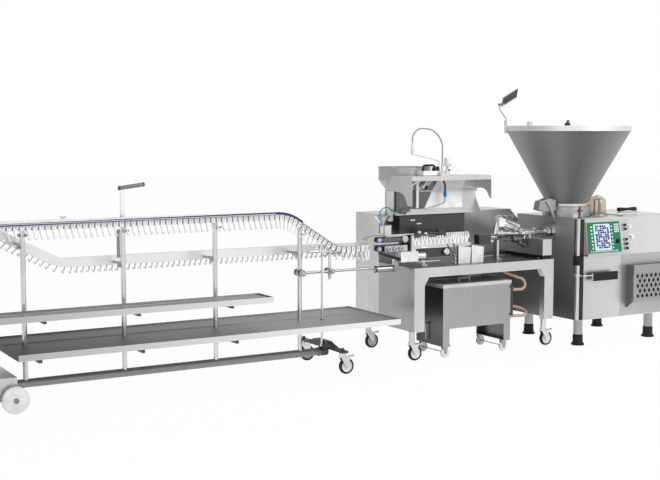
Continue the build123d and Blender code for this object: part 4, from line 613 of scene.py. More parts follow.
def tyre(centre, radius, half):
    """Tyre with rounded shoulders."""
    t = np.linspace(-0.5 * pi, 0.5 * pi, 9)
    crown = [(radius * (0.90 + 0.10 * cos(a)), half * sin(a)) for a in t]
    return lathe([(0.735 * radius, -half)] + crown + [(0.735 * radius, half)], centre, Y, 48, ring=True)


class LINE_OT_castor_wheels(bpy.types.Operator):
    """Add the six castor wheels, each a white disc in a black tyre"""

    bl_idname = "line.castor_wheels"
    bl_label = "Castor wheels"

    def execute(self, context):
        for node in CASTORS:
            place = wheel_place(node)
            add_piece(f"{node}_disc", wheel(DISC_SIDE, *place), "plastic white", node, replaces=node)
            add_piece(f"{node}_tyre", tyre(*place), "rubber", node, "castor_tyre")
        return {"FINISHED"}


class LINE_OT_plain_wheels(bpy.types.Operator):
    """Add the plain wheels: one pair on the line's axle and two small pairs under the tank"""

    bl_idname = "line.plain_wheels"
    bl_label = "Plain wheels"

    def execute(self, context):
        for node, width in PLAIN_WHEELS:
            low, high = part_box(node)
            centre, radius, half = wheel_place(node)
            rims = [wheel(PLAIN_SIDE, (centre.x, y, centre.z), radius, width / 2, 48)
                    for y in (low.y + width / 2, high.y - width / 2)]
            add_piece(f"{node}_rims", rims, "plastic white", node, replaces=node)
            if node == "axle_wheels":
                face = np.array((centre.x, low.y + 0.0005, centre.z))
                washer = lathe(((0.011, 0), (0.0175, 0), (0.0175, 0.006), (0.011, 0.006)), face,
                               (0, -1, 0), 28, ring=True)
                bolt = rod(face, face - (0, 0.009, 0), 0.007)
                add_piece("axle_hub", [washer, bolt], "steel shade", node)
            axle, tip = 0.13 * radius, half + 0.002
            outline = ((0.8 * axle, -tip), (axle, -half), (axle, half), (0.8 * axle, tip))
            add_piece(f"{node}_axle", lathe(outline, centre, Y, 20), "steel bright", node)
        return {"FINISHED"}


class LINE_OT_foot_boots(bpy.types.Operator):
    """Add the four ridged rubber boots under the filler"""

    bl_idname = "line.foot_boots"
    bl_label = "Rubber boots"

    def execute(self, context):
        low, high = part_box("foot_boots")
        sole, top = 0.0575, high.z
        outline = ((0.036, 0.001), (sole - 0.002, 0.0), (sole, 0.004), (sole, 0.013), (0.049, 0.017),
                   (0.045, 0.030), (0.0438, 0.062), (0.0445, 0.066), (0.0438, 0.070), (0.0435, top - 0.004),
                   (0.0405, top))
        boots = [lathe(outline, (x, y, 0), Z) for x in (low.x + sole, high.x - sole)
                 for y in (low.y + sole, high.y - sole)]
        add_piece("rubber_boots", boots, "rubber", replaces="foot_boots")
        return {"FINISHED"}


# Hook chain

def route_frames(corners, radii, y, pitch, way):
    """Frames of links along a run: o on it, e1 along it by way 1 and back by -1, e2 across, e3 square."""
    spots = [np.array(corners[0], float)[None]]
    for index, radius in enumerate(radii):
        spots.append(rounded(corners[index:index + 3], radius, 24)[1:-1])
    line = np.concatenate(spots + [np.array(corners[-1], float)[None]])
    along = np.concatenate(([0.0], np.cumsum(np.linalg.norm(np.diff(line, axis=0), axis=1))))
    count = round(along[-1] / pitch)
    marks = (np.arange(count) + 0.5) * along[-1] / count

    def place(marks):
        return np.stack([np.interp(marks, along, column) for column in line.T], 1)

    spot = place(marks)
    t = place(marks + 0.01) - place(marks - 0.01)
    t /= np.linalg.norm(t, axis=1)[:, None]
    zero = np.zeros(count)
    o = np.stack((spot[:, 0], zero + y, spot[:, 1]), 1)
    e1 = np.stack((t[:, 0], zero, t[:, 1]), 1) * way
    e3 = np.stack((-t[:, 1], zero, t[:, 0]), 1)
    return np.stack((o, e1, np.cross(e3, e1), e3), 1)


def turn_frames(centre, radius, z, start, pitch):
    """Frames of links round a half turn: o = c + R (cos a, sin a), e1 = (-sin a, cos a)."""
    count = round(pi * radius / pitch)
    a = np.radians(start) + (np.arange(count) + 0.5) * pi / count
    zero = np.zeros(count)
    o = np.stack((centre[0] + radius * np.cos(a), centre[1] + radius * np.sin(a), zero + z), 1)
    e1 = np.stack((-np.sin(a), np.cos(a), zero), 1)
    e3 = np.stack((zero, zero, zero + 1), 1)
    return np.stack((o, e1, np.cross(e3, e1), e3), 1)


class LINE_OT_hook_chain(bpy.types.Operator):
    """Add the endless chain of link blocks, pins and hook fingers, and the rail's violet strip and cover"""

    bl_idname = "line.hook_chain"
    bl_label = "Hook chain"

    def execute(self, context):
        sizes = context.scene.line_sizes
        pitch = sizes.link_pitch
        left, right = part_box("drive_wheel"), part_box("idler_wheel")
        drive, idler = (left[0] + left[1]) / 2, (right[0] + right[1]) / 2
        top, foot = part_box("hook_chain")[1].z, right[1].z + 0.0006
        front_y, back_y, turn_radius = -0.165, 0.105, 0.135
        slope_top, slope_foot, bend, rise = -0.625, -0.198, -2.312, -2.845
        crest, dip, back_bend = 0.33, 0.26, 0.22
        front = route_frames(((drive.x, top), (slope_top, top), (slope_foot, foot), (idler.x, foot)),
                             (crest, dip), front_y, pitch, 1)
        back = route_frames(((drive.x, top), (rise, top), (bend, foot), (idler.x, foot)),
                            (back_bend, back_bend), back_y, pitch, -1)
        drive_turn = turn_frames((drive.x, drive.y), turn_radius, top, 90, pitch)
        idler_turn = turn_frames((idler.x, idler.y), turn_radius, foot, -90, pitch)
        straight = np.concatenate((front, back, drive_turn))
        frames = np.concatenate((straight, idler_turn))
        h, w, half = sizes.link_height, sizes.link_width / 2, 0.38 * pitch
        side = ((-half, -h + 0.004), (-half + 0.004, -h), (half - 0.004, -h), (half, -h + 0.004),
                (half, -0.005), (half - 0.003, -0.0006), (-half + 0.003, -0.0006), (-half, -0.005))
        link = repeated(prism(side, 1, -w, w), frames)
        add_piece("chain_links", link, "plastic white", replaces="hook_chain")
        # Dark blocks low between the links: painted shade in the gaps
        bridge = box((-0.0225, -w * 0.8, -h * 0.92), (0.0225, w * 0.8, -h * 0.42))
        add_piece("chain_gap_shade", repeated(bridge, frames), "steel shade")
        pin = lathe(((0.0045, -w - 0.0012), (0.0052, -w), (0.0052, w), (0.0045, w + 0.0012)),
                    (0, 0, -h * 0.45), Y, 8)
        add_piece("chain_pins", repeated(pin, frames), "steel cast")
        finger = rounded(((-0.012, 0, -h + 0.006), (0.009, 0, -h - sizes.hook_reach),
                          (0.0175, 0, -h - sizes.hook_reach * 0.55)), 0.006, 5)
        wire = sizes.hook_wire * np.linspace(1.5, 1.0, len(finger))
        hook = tube(finger, wire, sides=6, flat=0.55)
        add_piece("chain_hooks", repeated(hook, straight), "plastic bright")
        broad = tube(finger * (1.1, 1, 1.1), 1.6 * wire, sides=6, flat=0.55)
        add_piece("idler_hooks", repeated(broad, idler_turn), "plastic bright")
        line = rounded(((drive.x, top), (slope_top, top), (slope_foot, foot)), crest, 30)[:-1]
        line = np.concatenate((line, [line[-1] + 0.04 * unit(line[-1] - line[-2])]))
        # Towards the left the strip hangs lower and the white cover over it shows more
        share = np.clip((-0.9 - line[:, :1]) / 2.1, 0, 1)
        strip_foot = line - share * (0, 0.009)
        strip_top = strip_foot + (0, sizes.strip_height)
        cover_top = strip_top + (0, 0.001) + share * (0, 0.019)
        strip = prism(np.concatenate((strip_foot, strip_top[::-1])), 1, -0.186, -0.181)
        add_piece("rail_strip", strip, "plastic violet")
        cover = prism(np.concatenate((strip_top, cover_top[::-1])), 1, -0.185, -0.150)
        add_piece("rail_cover", cover, "plastic white")
        return {"FINISHED"}


# Control panel and folding step

def disc(centre, radius, low, high):
    """Round key or knob that stands out of a flat face."""
    edge = min(0.0015, (high - low) / 2)
    return lathe(((radius, low), (radius, high - edge), (radius - edge, high)), (*centre, 0), Z, 20)


class LINE_OT_panel_face(bpy.types.Operator):
    """Add the green face with its screen, keys and knob, and the push buttons' rings beside it"""

    bl_idname = "line.panel_face"
    bl_label = "Panel face"

    def execute(self, context):
        low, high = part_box("control_panel")
        foot_y, foot_z, rise = -0.475, low.z + 0.016, high.z - low.z - 0.016
        lean = np.array((0.0, 0.052, rise))
        length = np.linalg.norm(lean)
        on = leaning((low.x, foot_y, foot_z), X, lean / length)
        skin, glass, raised = 0.0016, 0.0026, 0.0032
        add_piece("panel_green", on(box((0.008, 0.012, 0.0), (0.385, length - 0.010, skin))), "panel green",
                  bevel=0.0006)
        left, foot, right, top = 0.085, 0.040, 0.262, length - 0.034
        bezel = box((left - 0.006, foot - 0.006, skin), (right + 0.006, top + 0.006, glass), 0.004)
        add_piece("screen_bezel", on(bezel), "plastic white")
        add_piece("screen_glass", on(box((left, foot, glass), (right, top, raised))), "screen")
        fields = []
        for row in range(11):
            y = foot + 0.010 + row * 0.0185
            for column in range(6):
                if (2 * row + 3 * column) % 7:
                    x = left + 0.010 + column * 0.027 + 0.003 * (row % 2)
                    width = 0.0245 - 0.004 * ((row + column) % 3)
                    fields.append(box((x, y, raised), (x + width, y + 0.0155, 0.0036)))
        add_piece("screen_fields", on(*fields), "ink blue")
        keys = []
        for row in range(7):
            y = 0.045 + row * 0.031
            keys.append(box((0.046, y, skin), (0.062, y + 0.016, raised), 0.004))
            keys.append(box((0.280, y, skin), (0.294, y + 0.014, raised), 0.004))
        for row in range(4):
            for column in range(3):
                x, y = 0.318 + column * 0.019, length - 0.105 + row * 0.020
                keys.append(box((x, y, skin), (x + 0.015, y + 0.015, raised), 0.003))
        keys += [disc((0.030 + 0.019 * column, 0.025), 0.006, skin, raised) for column in range(17)]
        add_piece("panel_keys", on(*keys), "steel pale", slot="white_plastic")
        knob = (0.345, 0.105)
        knob = on(disc(knob, 0.021, skin, 0.004), disc(knob, 0.015, 0.004, 0.016))
        add_piece("panel_knob", knob, "rubber", slot="black_cap")
        spots = [(high.x - low.x - 0.048, (rise - drop) * length / rise)
                 for drop in (0.046, 0.080, 0.170, 0.208, 0.246)]
        caps = on(*(disc(spot, 0.0125, 0.008, 0.019) for spot in spots))
        add_piece("selector_caps", caps, "rubber", slot="black_cap")
        rings = on(*(disc(spot, 0.0165, 0.0, 0.003) for spot in spots))
        add_piece("selector_rings", rings, "steel bright")
        return {"FINISHED"}


def perforated(width, height, pitch, radius, thick):
    """Sheet with staggered round holes. A cell's two faces and hole wall: p = (1 - s) hole(t) + s edge(t)."""
    side = 16
    columns, rows = int(width / pitch[0]), int(height / pitch[1])
    cell = np.array((width / columns, height / rows))
    t = (np.arange(side) + 0.5) * 2 * pi / side
    way = np.stack((np.cos(t), np.sin(t)), 1)
    hole = radius * way
    edge = way / np.maximum(np.abs(way[:, :1]), np.abs(way[:, 1:])) * cell / 2
    rings = [np.insert(ring, 2, level, axis=1)
             for ring, level in ((hole, 0), (edge, 0), (edge, thick), (hole, thick))]
    shape = (np.concatenate(rings), lattice(4, side, close_rows=True))
    spots = [((i + 0.5 + 0.5 * (j % 2)) * cell[0], (j + 0.5) * cell[1], 0.0)
             for j in range(rows) for i in range(columns - j % 2)]
    frames = np.tile(np.eye(4, 3, -1), (len(spots), 1, 1))
    frames[:, 0] = spots
    ends = [box((x, j * cell[1], 0), (x + cell[0] / 2, (j + 1) * cell[1], thick))
            for j in range(1, rows, 2) for x in (0, width - cell[0] / 2)]
    return joined(repeated(shape, frames), *ends)


class LINE_OT_folding_step(bpy.types.Operator):
    """Add the folding step with round holes between folded cheeks, and the sheets on the front behind it, the
    dark one painted shade
    """

    bl_idname = "line.folding_step"
    bl_label = "Folding step"

    def execute(self, context):
        low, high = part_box("folding_step")
        width, height = high.x - low.x, high.z - low.z
        on = leaning((low.x, low.y + 0.002, low.z), X, unit((0.0, 0.015, height)))
        margin, foot, band, thick, fold = 0.024, 0.03, 0.075, 0.002, -0.026
        points, faces = perforated(width - 2 * margin, height - band - foot, (0.050, 0.040),
                                   context.scene.line_sizes.hole_radius, thick)
        parts = [(points + (margin, foot, 0), faces),
                 box((0, 0, 0), (margin, height, thick)),
                 box((width - margin, 0, 0), (width, height, thick)),
                 box((margin, 0, 0), (width - margin, foot, thick)),
                 box((margin, height - band, 0), (width - margin, height, thick)),
                 box((0, 0, fold), (thick, height, 0)),
                 box((width - thick, 0, fold), (width, height, 0)),
                 box((0, height - thick, fold), (width, height, 0))]
        add_piece("step_plate", on(*parts), "steel mid", "folding_step", replaces="folding_step")
        hinge = lathe(((0.006, -0.002), (0.007, 0), (0.007, width), (0.006, width + 0.002)),
                      (low.x, -0.475, low.z + 0.008), X, 16)
        add_piece("step_hinge_rod", hinge, "steel bright", "folding_step")
        # The sheets lie on the casing's front; the dark one is painted shade behind the step's holes
        housing, edge = -0.4152, 0.012
        shade_behind_step = box((low.x + edge, -0.4185, low.z + edge), (high.x - 0.006, housing, low.z + 0.300), 0.004)
        add_piece("step_shade_sheet", shade_behind_step, "steel black")
        add_piece("front_sheet", box((2.563, -0.4168, 0.226), (3.182, housing, 0.770)), "steel sheet")
        return {"FINISHED"}


# Posts, crank and tie of the hanging line

POST_TOPS = ((-2.635, 1.222), (-1.922, 1.222), (-1.209, 1.222), (-0.496, 1.118))
LINE_Y = -0.105


class LINE_OT_posts(bpy.types.Operator):
    """Add the four posts with their clamps, arms, pins and tray bearers, and the crank on the second post"""

    bl_idname = "line.posts"
    bl_label = "Posts and crank"

    def execute(self, context):
        y, rail, bore = LINE_Y, 1.225, 0.0178
        tubes, clamps, arms, pins, bearers = [], [], [], [], []
        for index, (x, top) in enumerate(POST_TOPS):
            tubes.append(lathe(((0.018, 0.150), (0.018, top - 0.003), (0.015, top)), (x, y, 0), Z, 32))
            tubes.append(collar((x, y, 0.3735), Z, bore, 0.040, 0.012))
            # Arm to the return rail, which climbs to the upper rail at the left
            arm = 0.899 + 0.274 * min(max((-2.312 - x) / 0.533, 0), 1)
            arms.append(box((x - 0.007, y, arm + 0.002), (x + 0.007, 0.101, arm + 0.018)))
            block = box((x - 0.031, y + 0.004, arm - 0.012), (x - 0.013, y + 0.034, arm + 0.030), 0.003)
            clamps.append(block)
            pins.append(bar((x - 0.016, y - 0.012, arm - 0.002), X, -0.03, 0.004))
            pins.append(bar((x - 0.044, y - 0.012, arm + 0.012), Z, -0.024, 0.005))
            if index < 2:
                z = rail - 0.078
                block = box((x - 0.027, y - 0.012, z - 0.012), (x + 0.027, y + 0.030, z + 0.010), 0.004)
                clamps.append(block)
                pins.append(bar((x - 0.012, y - 0.024, z), Y, -0.01, 0.009))
                pins.append(bar((x + 0.026, y - 0.010, z), X, 0.018, 0.007))
            else:
                z = rail - 0.085 if index == 2 else 1.058
                pins.append(bar((x + 0.016, y, z), X, 0.036, 0.0045))
                pins.append(bar((x + 0.052, y, z - 0.008), Z, 0.018, 0.005))
            if index < 3:
                shift = 0.055 if index == 0 else 0.006
                bearers.append(box((x + shift, -0.380, 0.572), (x + shift + 0.018, y, 0.588)))
                bearers.append(box((x - 0.014, -0.486, 0.334), (x + 0.008, y, 0.357)))
                clamps.append(collar((x, y, 0.566), Z, bore, 0.024, 0.024))
        arms.append(bar((-1.945, -0.075, 1.155), Z, -0.2, 0.011))
        add_piece("post_tubes", tubes, "steel bright", replaces="line_posts")
        add_piece("post_arms", arms, "steel dark", bevel=0.001)
        add_piece("post_clamps", clamps, "steel cast")
        add_piece("tray_bearers", bearers, "steel black")
        add_piece("post_pins", pins, "steel cast")
        x, foot = POST_TOPS[1][0], rail + 0.0062
        cap = lathe(((0.015, foot), (0.017, foot + 0.002), (0.017, foot + 0.024), (0.012, foot + 0.028)),
                    (x, y, 0), Z, 28)
        stem = box((x - 0.016, y - 0.004, foot + 0.02), (x + 0.016, y + 0.004, 1.452), 0.003)
        add_piece("crank_stem", [cap, stem], "steel pale", "crank_handle", replaces="crank_handle")
        start, end = np.array((x - 0.024, y, 1.449)), np.array((x + 0.165, y, 1.472))
        add_piece("crank_grip", rod(start, end, 0.0145, 28), "steel shade", "crank_handle")
        out, back = 0.002 * unit(end - start), 0.010 * unit(end - start)
        ends = [rod(start - out, start + back, 0.0158, 28), rod(end - back, end + out, 0.0158, 28)]
        add_piece("crank_ends", ends, "steel black", "crank_handle", "black_cap")
        return {"FINISHED"}


class LINE_OT_tie_fittings(bpy.types.Operator):
    """Add the bright caps and dark bands on the tie rod's clamps and sleeve, and the guide's foot"""

    bl_idname = "line.tie_fittings"
    bl_label = "Tie fittings"

    def execute(self, context):
        post, guide, z = -0.496, -0.235, 0.762
        caps = [bar((post, -0.165, z), Y, -0.006, 0.0255, 28),
                bar((guide, -0.164, z), Y, -0.006, 0.021, 28)]
        caps += [bar((x, -0.170, z), Y, -0.01, 0.009) for x in (post, guide)]
        add_piece("tie_caps", caps, "steel bright")
        sleeve_bands = [collar((x, -0.14, z - 0.012), X, 0.0248, 0.0272, 0.014) for x in (0.166, 0.348)]
        clamp_bands = [collar((x, y, z), (0, -1, 0), radius, radius + wall, width)
                       for x, y, radius, wall, width in ((post, -0.07, 0.0268, 0.002, 0.012),
                                                         (post, -0.13, 0.0268, 0.002, 0.012),
                                                         (guide, -0.08, 0.0223, 0.002, 0.012),
                                                         (post, -0.1695, 0.015, 0.004, 0.003),
                                                         (guide, -0.1695, 0.012, 0.004, 0.003))]
        add_piece("tie_bands", sleeve_bands + clamp_bands, "steel black", slot="black_cap")
        add_piece("guide_foot", bar((-0.324, -0.152, 0.40), Z, -0.012, 0.016, 24), "steel cast")
        return {"FINISHED"}


# Filler top

class LINE_OT_filler_top(bpy.types.Operator):
    """Add the glass dome, the lid's grip, the hopper's collar band, the rim catch and the column's collar"""

    bl_idname = "line.filler_top"
    bl_label = "Filler top"

    def execute(self, context):
        low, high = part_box("vacuum_dome")
        x, y, z = (low.x + high.x) / 2, (low.y + high.y) / 2, low.z
        wall = 0.0035
        t = np.linspace(0, 0.5 * pi, 10)
        outer = [(0.082, 0.016)] + [(0.016 + 0.066 * cos(a), 0.105 + 0.068 * sin(a)) for a in t]
        inner = [(r - wall if r > 0.02 else 0.0145, h - wall) for r, h in outer[1:]]
        dome = lathe(outer + inner[::-1] + [(0.082 - wall, 0.016)], (x, y, z), Z, 48, ring=True)
        add_piece("dome_glass", dome, "glass tinted", replaces="vacuum_dome")
        # Foot, three pipes under the glass, the bend between two of them, and the cap on the glass
        base = lathe(((0.094, 0.0), (0.096, 0.004), (0.096, 0.013), (0.090, 0.017), (0.030, 0.017)),
                     (x, y, z), Z, 48)
        pipes = [rod((x + a, y + b, z + 0.015), (x + a, y + b, z + height), radius)
                 for a, b, height, radius in ((-0.030, 0.0, 0.130, 0.009), (0.018, -0.012, 0.145, 0.012),
                                              (0.045, 0.02, 0.09, 0.007))]
        bridge = hose([(x + a, y + b, z + c) for a, b, c in (
            (-0.030, 0, 0.125), (-0.030, 0, 0.150), (0.018, -0.012, 0.150), (0.018, -0.012, 0.125))],
                      0.006, 0.015)
        cap = bar((x, y, z + 0.1705), Z, 0.0055, 0.0165, 24)
        add_piece("dome_base", [base, *pipes, bridge, cap], "steel cast")
        # The grip is waisted: r = 0.019 + 0.003 cos(2 pi t) exp(-(2 t - 1)^2 / 2)
        t = np.linspace(0, 1, 25)
        bulge = 0.019 + 0.003 * np.cos(2 * pi * t) * np.exp(-((2 * t - 1) ** 2) * 0.5)
        outline = [(0.012, 0.0), *zip(bulge, 0.004 + 0.206 * t), (0.012, 0.214)]
        add_piece("lid_grip", lathe(outline, (2.692, -0.226, 1.147), X, 28), "rubber", "top_lid")
        hopper = (2.243, -0.045, 0)
        band = lathe(((0.201, 1.106), (0.209, 1.106), (0.2105, 1.110), (0.2105, 1.184), (0.209, 1.188),
                      (0.201, 1.188)), hopper, Z, 72, ring=True)
        lip = lathe(((0.199, 1.186), (0.216, 1.186), (0.216, 1.194), (0.199, 1.194)), hopper, Z, 72,
                    ring=True)
        add_piece("collar_band", [band, lip], "steel mid", slot="bright_steel")
        clamp = [box((2.205, -0.262, 1.104), (2.217, -0.252, 1.192)),
                 box((2.19, -0.268, 1.150), (2.232, -0.254, 1.163))]
        add_piece("collar_clamp", clamp, "steel black", bevel=0.001)
        catch = [box((2.588, 0.352, 1.893), (2.634, 0.388, 1.925), 0.004),
                 rod((2.608, 0.370, 1.920), (2.622, 0.370, 1.948), 0.013)]
        add_piece("rim_catch", catch, "steel black", "hopper", "black_cap", bevel=0.0015)
        ring = collar((2.085, -0.39, 0.700), Z, 0.030, 0.047, 0.078)
        add_piece("column_collar", ring, "rubber", slot="black_cap")
        return {"FINISHED"}


class LINE_OT_mirror_glass(bpy.types.Operator):
    """Add the tilted mirror in its folded frame, on its barrel at the arm's elbow"""

    bl_idname = "line.mirror_glass"
    bl_label = "Mirror"

    def execute(self, context):
        low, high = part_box("mirror")
        y = (low.y + high.y) / 2
        elbow = np.array((low.x + 0.020, y, low.z + 0.020))
        along, up = np.array((0.888, 0.0, 0.460)), np.array((0.0, -0.585, 0.811))
        up = unit(up - (up @ along) * along)
        on = leaning(elbow + 0.012 * along - 0.030 * up, along, up)
        wide, tall, wall, back, front = 0.178, 0.102, 0.003, -0.0004, 0.006
        glass = box((0.0, 0.0, 0.0), (wide, tall, 0.004), 0.003)
        add_piece("mirror_glass", on(glass), "mirror glass", "mirror", replaces="mirror")
        tray = [box((-wall, -wall, -wall), (wide + wall, tall + wall, back)),
                box((-wall, -wall, back), (0.0, tall + wall, front)),
                box((wide, -wall, back), (wide + wall, tall + wall, front)),
                box((0.0, -wall, back), (wide, 0.0, front)),
                box((0.0, tall, back), (wide, tall + wall, front))]
        add_piece("mirror_frame", on(*tray), "steel mid", "mirror")
        barrel = bar((elbow[0], y - 0.034, elbow[2]), Y, 0.068, 0.0095, 20)
        add_piece("mirror_barrel", barrel, "steel cast", "mirror")
        return {"FINISHED"}


# Hood

class LINE_OT_hood_fittings(bpy.types.Operator):
    """Add the pale back pane, dark sheets of painted shade, white slab and bracket, blue coupling and hoses
    of the hood
    """

    bl_idname = "line.hood_fittings"
    bl_label = "Hood fittings"

    def execute(self, context):
        foot, head = 1.203, 1.452
        pane = ((0.950, head), (0.776, foot), (1.195, foot), (1.195, 1.375), (1.240, head))
        add_piece("hood_pane", prism(pane, 1, 0.091, 0.094), "plastic bright")
        # Dark sheets in the hood and on its left cheek: painted shade
        slanted = ((0.885, head), (0.712, foot), (0.776, foot), (0.950, head))
        upright = ((0.555, 1.36), (0.885, 1.36), (0.80, foot), (0.555, foot))
        add_piece("hood_shade_sheets", [prism(slanted, 1, 0.088, 0.0935), prism(upright, 1, 0.0855, 0.0875)],
                  "steel deep shade")
        cheek = ((0.205, 1.165), (0.205, 1.40), (-0.02, 1.40), (-0.075, 1.25), (-0.075, 1.225),
                 (0.0, 1.165))
        add_piece("hood_inner_shade_sheet", prism(cheek, 0, 0.552, 0.555), "steel shade")
        struts = [rod((0.60 + 0.055 * k, 0.076, 1.375 + 0.02 * (k % 3)),
                      (0.66 + 0.055 * k, 0.076, 1.455 - 0.02 * (k % 2)), 0.010 + 0.003 * (k % 2))
                  for k in range(5)]
        struts += [rod((0.70, 0.070, 1.352), (1.345, 0.070, 1.345), 0.005),
                   rod((0.72, 0.080, 1.205), (0.72, 0.080, head), 0.019, 20)]
        add_piece("hood_struts", struts, "steel pale")
        # Slab on the hood's top, and the bracket at its left in two parts
        slab = [box((0.757, 0.034, 1.4815), (1.291, 0.150, 1.517), 0.004),
                box((0.531, 0.150, 1.205), (0.5445, 0.255, 1.350), 0.003),
                box((0.520, 0.170, 1.100), (0.548, 0.222, 1.208), 0.003)]
        add_piece("hood_slab", slab, "plastic bright", bevel=0.002)
        # Two switches and a cap on the hood's top
        fittings = [box((0.893, 0.085, 1.516), (0.915, 0.115, 1.545), 0.003),
                    box((0.925, 0.085, 1.516), (0.957, 0.115, 1.553), 0.003),
                    bar((1.003, 0.020, 1.516), Z, 0.016, 0.012)]
        add_piece("hood_top_fittings", fittings, "steel black", slot="black_cap", bevel=0.002)
        x, y = 0.966, 0.02
        coupling = [bar((x, y, 1.300), Z, 0.048, 0.0145, 24), bar((x, y, 1.348), Z, 0.012, 0.010, 24)]
        add_piece("blue_coupling", coupling, "plastic blue")
        supply = ((0.945, y, 1.477), (0.950, y, 1.43), (x, y, 1.40), (x, y, 1.355))
        add_piece("supply_hose", hose(supply, 0.007, 0.05), "rubber")
        drain = ((x, y, 1.302), (x, y, 1.255), (0.90, y, 1.232), (0.775, 0.03, 1.203))
        add_piece("clear_hose", hose(drain, 0.008, 0.06), "plastic clear")
        arc = ((0.532, 0.165, 1.190), (0.40, 0.02, 1.228), (0.275, -0.10, 1.237), (0.240, -0.10, 1.205),
               (0.232, -0.10, 1.152), (0.257, -0.10, 1.102), (0.262, -0.10, 1.085))
        add_piece("blue_hose", hose(arc, 0.0045, 0.08), "plastic blue")
        return {"FINISHED"}


# Linker and head

class LINE_OT_linker_fittings(bpy.types.Operator):
    """Add the belt plates, rollers, upper pegs, dark drive and handles about the linker"""

    bl_idname = "line.linker_fittings"
    bl_label = "Linker fittings"

    def execute(self, context):
        rollers, roller_z = (0.285, 0.345, 0.402), 0.911
        # Plates before the lower and the upper belt, and the upper belt's drive wheel
        plates = [box((0.250, -0.163, 0.885), (0.470, -0.154, 0.935), 0.004),
                  box((0.262, -0.163, 1.006), (0.452, -0.154, 1.022), 0.003),
                  bar((0.441, -0.152, 0.984), Y, -0.024, 0.029, 32)]
        plates += [bar((x, -0.160, roller_z), Y, -0.022, 0.021, 28) for x in rollers]
        add_piece("belt_plates", plates, "steel sheet", slot="bright_steel", bevel=0.0015)
        teeth = [box((x, -0.159, 0.962 + 0.006 * (k % 2)), (x + 0.007, -0.152, 0.998))
                 for k, x in enumerate(0.252 + 0.0125 * np.arange(13))]
        teeth += [bar((x, -0.182, roller_z), Y, -0.003, 0.009) for x in rollers]
        add_piece("belt_teeth", teeth, "steel shade")
        # End plate, bar behind the cups, motor at the head, drive under the cups and block above them
        dark = [box((0.484, -0.172, 0.880), (0.502, -0.100, 1.018), 0.003),
                box((0.520, -0.1275, 0.934), (1.100, -0.1225, 0.967)),
                box((1.190, -0.165, 0.903), (1.318, -0.085, 0.980), 0.008),
                box((0.600, -0.150, 0.822), (0.905, -0.080, 0.893), 0.004),
                box((0.792, -0.140, 0.985), (0.862, -0.090, 1.034), 0.006),
                rod((0.700, -0.13, 1.022), (0.795, -0.13, 1.012), 0.009)]
        add_piece("linker_dark_blocks", dark, "steel black", slot="black_cap", bevel=0.002)
        gate = [rod((0.852, -0.168, 0.922), (0.930, -0.172, 0.832), 0.007),
                rod((0.922, -0.172, 0.925), (0.934, -0.172, 0.838), 0.006),
                rod((0.905, -0.172, 0.830), (0.952, -0.172, 0.826), 0.012)]
        shafts = [rod((1.310, -0.11, 0.968), (1.690, -0.07, 0.957), 0.006),
                  rod((1.310, -0.13, 0.945), (1.590, -0.10, 0.918), 0.008),
                  rod((1.598, -0.095, 0.925), (1.690, -0.085, 0.918), 0.030, 24),
                  rod((1.64, -0.13, 0.90), (1.71, -0.12, 0.865), 0.018)]
        add_piece("linker_rods", gate + shafts, "steel shade")
        # Two knobs above, the drive's wheel, the rod before it, the table's arm, two ends of the frame
        bright = [bar((0.595, -0.13, 1.030), Y, -0.025, 0.012),
                  bar((0.659, -0.13, 1.018), Y, -0.025, 0.011),
                  bar((0.848, -0.150, 0.862), Y, -0.035, 0.030, 28),
                  bar((0.590, -0.168, 0.905), X, 0.07, 0.010),
                  bar((0.560, -0.16, 0.790), X, 0.23, 0.005),
                  bar((0.515, -0.1, 0.895), Z, 0.05, 0.024, 24),
                  bar((0.560, -0.14, 0.838), X, 0.06, 0.036, 28)]
        add_piece("linker_bright_parts", bright, "steel bright")
        pegs = [bar((0.535 + 0.0262 * k, -0.150, 0.962), Z, 0.024 + 0.010 * (k // 3 % 2), 0.0085, 10)
                for k in range(22)]
        pegs += [bar((0.90 + 0.024 * k, -0.10, 0.965), Z, 0.047, 0.009, 10)
                 for k in range(10)]
        add_piece("upper_pegs", pegs, "plastic bright")
        handles = [box((0.662, 0.0895, 1.104), (0.712, 0.0925, 1.115), 0.003),
                   box((0.728, 0.0895, 1.074), (0.775, 0.0925, 1.084), 0.003)]
        add_piece("flap_handles", handles, "steel bright", "guard_flap")
        # Dark lining in the funnel's mouth: painted shade
        funnel = lathe(((0.062, 0.146), (0.010, 0.082), (0.006, 0.070)), (0.267, -0.095, 1.026), Z, 32)
        add_piece("funnel_inside_shade", funnel, "steel black")
        return {"FINISHED"}


class LINE_OT_head_fittings(bpy.types.Operator):
    """Add the white valve cube, the tapered inlet with its flanges, and the bright strips on the table"""

    bl_idname = "line.head_fittings"
    bl_label = "Head fittings"

    def execute(self, context):
        cube = [box((1.452, -0.098, 1.036), (1.524, -0.028, 1.100), 0.006),
                bar((1.486, -0.063, 1.10), Z, 0.012, 0.022, 24)]
        add_piece("valve_cube", cube, "plastic bright", bevel=0.002)
        start, way = np.array((1.505, -0.075, 1.060)), np.array((0.210, 0.015, -0.075))
        reach = np.linalg.norm(way)
        outline = ((0.024, 0), (0.030, 0.01), (0.034, 0.45 * reach), (0.026, 0.62 * reach), (0.023, reach))
        inlet = lathe(outline, start, way, 32)
        flanges = [collar(start + share * way, way, 0.02, radius, 0.012)
                   for share, radius in ((0.08, 0.036), (0.60, 0.040), (0.90, 0.033))]
        add_piece("inlet_body", [inlet, *flanges], "steel bright")
        table_top = 0.7575
        slanted = ((1.812, 0.110), (1.826, 0.110), (1.801, -0.238), (1.787, -0.238))
        strips = [prism(slanted, 2, table_top, 0.7640),
                  box((1.478, 0.155, table_top), (1.812, 0.160, 0.7635))]
        add_piece("table_strips", strips, "steel pale", slot="brushed_steel")
        return {"FINISHED"}


# Tank

